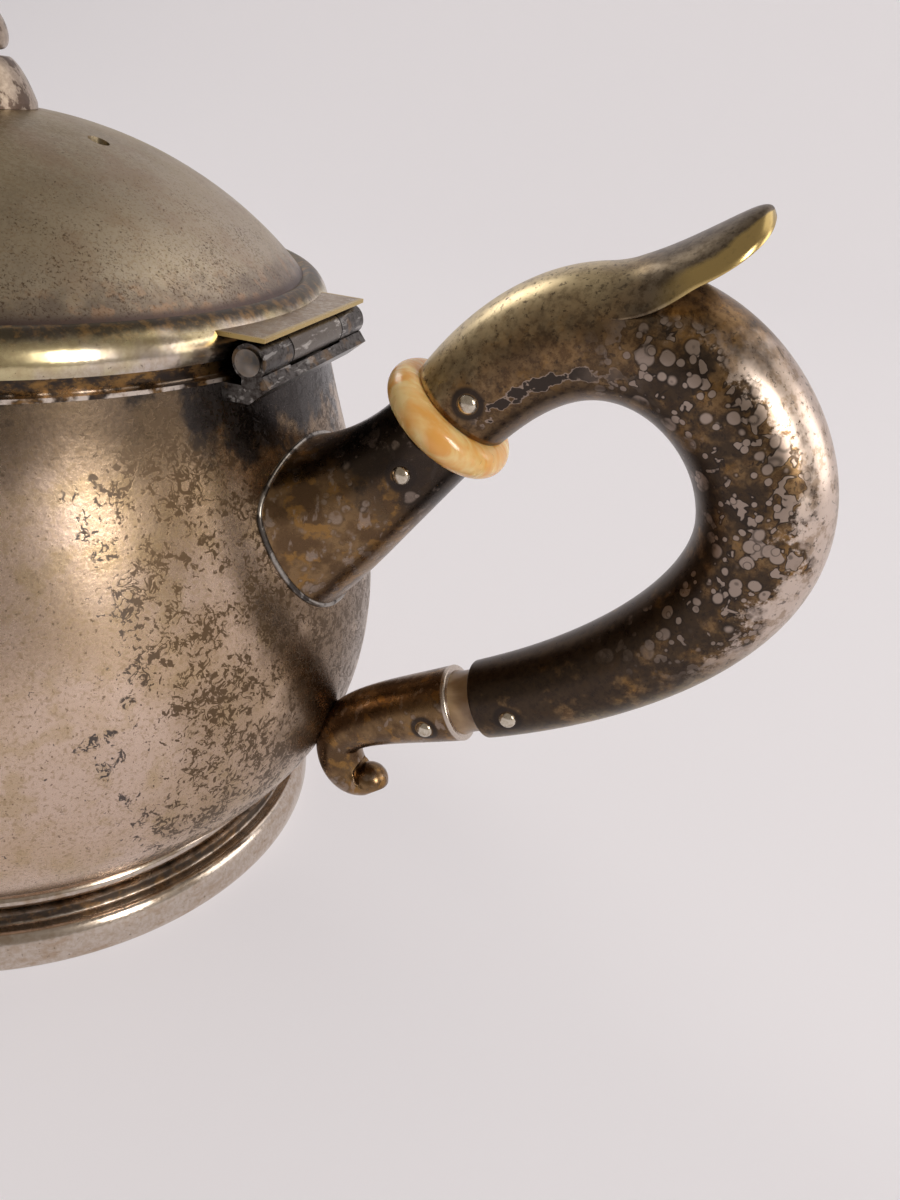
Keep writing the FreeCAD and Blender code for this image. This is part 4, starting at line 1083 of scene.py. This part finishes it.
def loop_tone(f, outer):
    """Colour of the loop before its spots: brown with black inside the bend, olive-gold on top of
    the upper arm, lightened as a painted highlight, and bare pinkish silver round the back, kept off
    the loop under the leaf as painted shade. Outer is 1 outside the bend, 0 inside it."""
    broad = f.uneven(6.0, 4.0, 0.65)
    fine = f.noise(1.2, 4.0, 0.7)
    wander = f.times(broad, WANDER_REACH)
    height = f.plus(f.z, wander)
    arm = f.times(f.step(f.plus(f.x, wander), *ARM_END_X, 1.0, 0.0), f.step(f.z, *ARM_HEIGHTS))
    low = f.step(height, *LOW_HEIGHTS, 1.0, 0.0)
    back = f.minus(1.0, f.larger(arm, low))
    colour = f.mix(f.step(fine, 0.38, 0.6), UMBER, TAN)
    amber = f.step(f.noise(3.6, 4.0, 0.7, shift=31.0), 0.52, 0.66)
    colour = f.mix(f.times(amber, 0.6), colour, AMBER)
    shade = f.plus(f.times(outer, -0.32), f.times(low, 0.09))
    shade = f.step(f.plus(f.noise(5.0, 4.0, 0.6, shift=13.0), shade), 0.24, 0.42)
    colour = f.mix(f.times(shade, f.step(arm, 0.0, 1.0, 0.85, 0.4)), colour, SOOT)
    # Olive-gold on top of the upper arm, lightened as a painted highlight.
    gilt_highlight = f.times(f.step(f.plus(outer, f.times(broad, 0.4)), 0.50, 0.86), arm)
    colour = f.mix(f.times(gilt_highlight, f.step(fine, 0.35, 0.55, 0.6, 1.0)), colour, GILT_HIGHLIGHT)
    under = f.times(f.step(f.plus(outer, f.times(broad, 0.5)), 0.62, 0.85), low)
    colour = f.mix(f.times(under, f.step(fine, 0.38, 0.6, 0.3, 0.9)), colour, OLIVE)
    ragged = f.plus(f.times(broad, 0.75), f.times(f.minus(fine, MIDDLE), 0.40))
    bare = f.step(f.plus(outer, ragged), 0.62, 0.70)
    # No bare silver under the leaf, so the loop stays dark there as painted shade.
    bare = f.times(bare, back, f.step(height, *BARE_ENDS_IN_LEAF_SHADE, 1.0, 0.0))
    veil = f.times(f.step(f.noise(2.6, 4.0, 0.7, shift=45.0), 0.48, 0.62), 0.55)
    colour = f.mix(f.times(bare, 0.92), colour, f.mix(veil, BARE, TAN))
    pits = f.step(f.noise(0.8, 3.0, 0.6, shift=7.0), 0.60, 0.66)
    colour = f.mix(f.times(pits, 0.6), colour, SOOT)
    return colour, fine, broad, arm, back


def handle_finish():
    f = Finish("handle_tarnish_highlight_and_shade")
    turn, along = f.turn()
    outer = f.times(f.size_of(f.minus(turn, 0.5)), 2.0)
    colour, fine, broad, arm, back = loop_tone(f, outer)
    strip = f.step(f.size_of(f.minus(outer, STRIP_TURN)), 0.02, 0.09, 1.0, 0.0)
    patch = f.plus(f.noise(2.6, 3.0, 0.5, shift=21.0), f.times(strip, 0.28))
    arm_only = f.times(arm, f.step(along, 0.07, 0.10))
    colour = f.mix(f.times(f.step(patch, 0.73, 0.75), arm_only, 0.7), colour, SPOT)
    soot = f.times(f.step(patch, 0.76, 0.78), arm_only)
    colour = f.mix(f.times(soot, 0.95), colour, SOOT)
    side = f.plus(outer, f.times(broad, 0.7))
    spots_here = f.times(back, f.step(side, 0.16, 0.30), f.step(side, 0.60, 0.74, 1.0, 0.0))
    net = f.plus(f.noise(2.4, 2.0, 0.5, 0.3, shift=27.0), f.times(outer, 0.25))
    colour = f.mix(f.times(f.step(net, 0.68, 0.70), spots_here, 0.8), colour, SOOT)
    colour = f.mix(f.times(f.step(net, 0.72, 0.74), spots_here, 0.9), colour, SPOT)
    colour = spotted(f, colour, spots_here)
    colour = ringed_rivets(f, colour)
    f.bump(f.plus(fine, f.times(soot, -0.5)), 0.16, 0.08)
    return f.finish(colour, f.step(fine, 0.3, 0.7, 0.27, 0.36))


handle_silver = handle_finish()

# %% [markdown]
# ### Sockets
# Brown like the loop, with amber stains and pale grey upright streaks that are painted reflections.
# The upper socket is black near the ring, where fingers never rub it, and the lower one has a pale
# rubbed brim at the spool.

# %% Sockets
SOOT_REACH = (131.0, 141.0)
SOOT_LEAN = 0.8
BRIM_DEPTHS = (-0.9, -0.6)
BRIM_HEIGHTS = (50.0, 55.0)


def socket_finish():
    """The soot's edge leans: it follows the height plus a share of x. The brim is measured along
    the lower axis, back from the end of the scroll."""
    f = Finish("socket_tarnish_and_reflections")
    broad = f.noise(6.0, 4.0, 0.65)
    fine = f.noise(1.2, 4.0, 0.7)
    colour = f.mix(f.step(broad, 0.42, 0.6), UMBER, TAN)
    colour = f.mix(f.times(f.step(f.noise(3.0, 4.0, shift=8.0), 0.54, 0.62), 0.8), colour, AMBER)
    # Pale grey upright streaks: painted reflections.
    streak_reflections = f.step(f.noise(1.8, 3.0, 0.5, stretch=(1.0, 1.0, 0.45), shift=17.0), 0.60, 0.66)
    colour = f.mix(f.times(streak_reflections, 0.5), colour, SPOT)
    leaning = f.plus(f.z, f.times(f.x, SOOT_LEAN))
    reach = f.plus(leaning, f.times(f.minus(broad, MIDDLE), 30.0))
    colour = f.mix(f.times(f.step(reach, *SOOT_REACH), 0.92), colour, SOOT)
    colour = spotted(f, colour, f.step(broad, 0.48, 0.58, 0.0, 0.5))
    colour = ringed_rivets(f, colour)
    end = f.node("ShaderNodeVectorMath", operation="DOT_PRODUCT")
    f.put(end.inputs[0], f.place)
    f.put(end.inputs[1], tuple(LOWER_AXIS))
    depth = f.minus(end.outputs["Value"], float(SCROLL_START @ LOWER_AXIS))
    brim = f.times(f.step(depth, *BRIM_DEPTHS), f.step(f.z, *BRIM_HEIGHTS, 1.0, 0.0))
    colour = f.mix(brim, colour, PEWTER)
    f.bump(fine, 0.14, 0.08)
    return f.finish(colour, f.step(fine, 0.3, 0.7, 0.24, 0.34))


socket_silver = socket_finish()

# %% [markdown]
# ### Thumb leaf
# Grey-brown on top, with edges polished to yellow by the thumb, most of all at the tip. Its root
# takes the loop's own colours, so no seam shows where the two meet.

# %% Thumb leaf finish
GOLD = (0.54, 0.40, 0.165)
ASH = (0.11, 0.083, 0.056)
GREY = (0.20, 0.16, 0.115)


def leaf_finish():
    """The edge is the cosine of the turn round a ring: 1 at both edges, 0 on the crest."""
    f = Finish("leaf_rubbed")
    turn, along = f.turn()
    edge = f.size_of(f.math("COSINE", f.times(turn, 2 * math.pi)))
    on_loop = f.minus(1.0, f.times(edge, LOOP_SIDE_ANGLE / math.pi))
    tone, fine = loop_tone(f, on_loop)[:2]
    nearer = f.plus(f.times(f.uneven(2.5), 0.10), f.step(along, 0.50, 0.88, 0.0, 0.16))
    worn = f.times(f.step(f.plus(edge, nearer), 0.82, 0.92), f.step(along, 0.36, 0.50))
    colour = f.mix(f.step(fine, 0.36, 0.62), ASH, GREY)
    blending = f.plus(along, f.times(f.uneven(5.0), 0.25))
    colour = f.mix(f.step(blending, 0.24, 0.44, 1.0, 0.0), colour, tone)
    colour = f.mix(worn, colour, GOLD)
    pits = f.step(f.noise(0.7, 3.0, 0.6, shift=7.0), 0.60, 0.66)
    colour = f.mix(f.times(pits, f.step(worn, 0.0, 1.0, 0.5, 0.1)), colour, SOOT)
    f.bump(fine, 0.12, 0.06)
    return f.finish(colour, f.step(worn, 0.0, 1.0, 0.33, 0.24))


leaf_silver = leaf_finish()

# %% [markdown]
# ### Hinge
# Dark grey knuckles with pale scratches that run along the pin, and a taupe top plate whose edges
# are worn to yellow. The scratches are a noise drawn out along the pin's direction, Y.

# %% Hinge
IRON = (0.13, 0.12, 0.112)
CHALK = (0.52, 0.50, 0.47)
TAUPE = (0.42, 0.35, 0.255)
GUNMETAL = (0.085, 0.08, 0.075)

PLATE_TOP = 100.5
PLATE_END_X = 57.6
PLATE_END_Y = 16.0
PLATE_WEAR = 0.6
PLATE_SOFT = 0.4


def scratches(f):
    """Pale lines along Y: where a drawn-out noise is high."""
    return f.step(f.noise(1.2, 4.0, 0.65, 0.3, stretch=(1.0, 0.18, 1.0)), 0.56, 0.64)


def knuckle_finish():
    f = Finish("knuckle_film")
    fine = f.noise(0.9, 4.0, 0.7)
    colour = f.mix(f.step(fine, 0.35, 0.65), SOOT, IRON)
    scratch = scratches(f)
    colour = f.mix(f.times(scratch, 0.55), colour, CHALK)
    colour = f.mix(f.times(f.step(f.noise(3.0, 3.0, shift=11.0), 0.55, 0.65), 0.5), colour, TAN)
    f.bump(f.plus(fine, scratch), 0.15, 0.06)
    return f.finish(colour, f.step(fine, 0.3, 0.7, 0.26, 0.36))


def plate_finish():
    """Taupe above the plate's top height, scratched iron on the knuckle below it."""
    f = Finish("plate_film")
    fine = f.noise(1.0, 4.0, 0.7)
    colour = f.mix(f.step(fine, 0.35, 0.65), TAUPE, FILM)
    colour = f.mix(f.times(f.step(f.noise(5.0, 3.0), 0.52, 0.62), 0.5), colour, TAN)
    top = f.step(f.z, PLATE_TOP - PLATE_SOFT, PLATE_TOP)
    front = f.step(f.x, PLATE_END_X, PLATE_END_X + PLATE_WEAR)
    ends = f.step(f.size_of(f.y), PLATE_END_Y, PLATE_END_Y + PLATE_WEAR)
    wear = f.step(f.plus(f.larger(front, ends), f.times(f.uneven(2.0), 0.6)), 0.55, 0.8)
    colour = f.mix(f.times(top, wear), colour, GOLD)
    barrel = f.mix(scratches(f), IRON, CHALK)
    colour = f.mix(f.step(top, 0.0, 1.0, 0.85, 0.0), colour, barrel)
    f.bump(fine, 0.12, 0.06)
    return f.finish(colour, f.step(fine, 0.3, 0.7, 0.26, 0.34))


hinge_silver = knuckle_finish()
pin_silver = rubbed_finish("pin_film", GUNMETAL, (), 1.0, 0.0, 0.30)
plate_silver = plate_finish()

# %% [markdown]
# ### Finial, rivets, wire, lining and the inner fastener
# Plainer metal with the same kind of film: the finial has dark mottling, the rivets are rubbed
# bright, the wire is half black, the ring inside the lid is dull, and the stud inside is brass.
# One recipe serves all five, with its own colours and share of film for each.

# %% Finial, rivets, wire, lining and stud
DOVE = (0.50, 0.41, 0.325)
MOLE = (0.105, 0.068, 0.052)
BRIGHT = (0.66, 0.60, 0.50)
LEAD = (0.42, 0.39, 0.355)
BRASS = (0.60, 0.45, 0.20)
BRASS_FILM = (0.28, 0.18, 0.08)
DULL = (0.46, 0.41, 0.33)
DULL_FILM = (0.22, 0.16, 0.1)


def mottled_finish(name, base, film, film_size, film_share, rough):
    """Base metal under a ragged film that covers about the given share, with fine specks."""
    f = Finish(name)
    fine = f.noise(0.8, 4.0, 0.7)
    colour = f.mix(f.step(fine, 0.3, 0.7, 0.0, 0.4), base, film)
    low = 0.66 - film_share * 0.32
    cover = f.step(f.noise(film_size, 4.0, 0.65), low, low + 0.08)
    colour = f.mix(f.times(cover, 0.85), colour, film)
    f.bump(fine, 0.12, 0.06)
    return f.finish(colour, f.plus(f.times(cover, 0.1), rough))


finial_silver = mottled_finish("finial_film", DOVE, MOLE, 3.5, 0.5, 0.30)
rivet_silver = mottled_finish("rivet_bright", BRIGHT, TAN, 1.2, 0.15, 0.22)
wire_silver = mottled_finish("wire_film", LEAD, SOOT, 3.0, 0.55, 0.28)
stud_brass = mottled_finish("stud_brass", BRASS, BRASS_FILM, 3.0, 0.4, 0.3)
lining_silver = mottled_finish("lining_film", DULL, DULL_FILM, 6.0, 0.4, 0.32)

# %% [markdown]
# ### Insulators
# The ring is honey-coloured and glossy with faint growth streaks; the spool is a duller tan. Neither
# is metal, so a little light goes into them. A thin coat gives the gloss of handling.

# %% Insulators
HONEY = (0.86, 0.43, 0.10)
CREAM = (0.95, 0.72, 0.34)
BONE_DARK = (0.26, 0.155, 0.075)
BONE_PALE = (0.40, 0.27, 0.15)

LIGHT_INSIDE_SHARE = 0.2
LIGHT_INSIDE_DEPTH = (0.003, 0.0015, 0.0006)
GLOSS_SHARE = 0.3
CRACK_WIDTH = 0.004


def ivory_finish(name, deep, pale, rough):
    """Streaks drawn out in the middle plane, with hair cracks where a noise is at its middle."""
    f = Finish(name, metallic=0.0)
    streak = f.noise(1.6, 3.0, 0.5, 0.4, stretch=(0.35, 1.0, 0.35))
    colour = f.mix(f.step(streak, 0.35, 0.65), deep, pale)
    colour = f.mix(f.times(f.step(f.noise(6.0, 3.0), 0.45, 0.7), 0.5), colour, deep)
    cracks = f.step(f.size_of(f.uneven(6.0, 2.0, shift=2.0)), 0.0, CRACK_WIDTH, 1.0, 0.0)
    cracks = f.times(cracks, f.step(f.noise(3.0, 2.0), 0.6, 0.64), 0.8)
    colour = f.mix(cracks, colour, UMBER)
    f.shader.inputs["Subsurface Weight"].default_value = LIGHT_INSIDE_SHARE
    f.shader.inputs["Subsurface Radius"].default_value = LIGHT_INSIDE_DEPTH
    f.shader.inputs["Subsurface Scale"].default_value = 1.0
    f.shader.inputs["Coat Weight"].default_value = GLOSS_SHARE
    f.bump(streak, 0.05, 0.08)
    return f.finish(colour, f.step(streak, 0.3, 0.7, rough, rough + 0.06))


ring_ivory = ivory_finish("ring_ivory", HONEY, CREAM, 0.22)
spool_bone = ivory_finish("spool_bone", BONE_DARK, BONE_PALE, 0.32)

# %% [markdown]
# ## Putting it together
# Each finish goes onto its pieces: the new skins, and the model's own pieces where those are smooth
# enough as they are.

# %% Give every piece its finish
FINISHES = {
    bowl_silver: ["body_shell", "spout_skin"],
    lid_silver: ["lid_dome"],
    rim_silver: ["lid_rim"],
    collar_silver: ["mouth_collar"],
    lining_silver: ["lid_bezel"],
    foot_silver: ["foot_ring"],
    handle_silver: ["handle_skin"],
    socket_silver: ["upper_socket_skin", "lower_socket_skin"],
    leaf_silver: ["leaf_skin"],
    hinge_silver: ["hinge_body_leaf"],
    pin_silver: ["hinge_pin"],
    plate_silver: ["hinge_lid_leaf"],
    finial_silver: ["finial_base", "finial_bud"],
    rivet_silver: [name + "_turned" for name in RIVETS],
    wire_silver: ["socket_wire"],
    stud_brass: ["finial_stud", "finial_washer", "finial_nut"],
    ring_ivory: ["upper_insulator"],
    spool_bone: ["spool_turned"],
}
for material, names in FINISHES.items():
    for name in names:
        mesh = bpy.data.objects[name].data
        mesh.materials.clear()
        mesh.materials.append(material)
print(sum(len(names) for names in FINISHES.values()), "pieces have", len(FINISHES), "finishes")
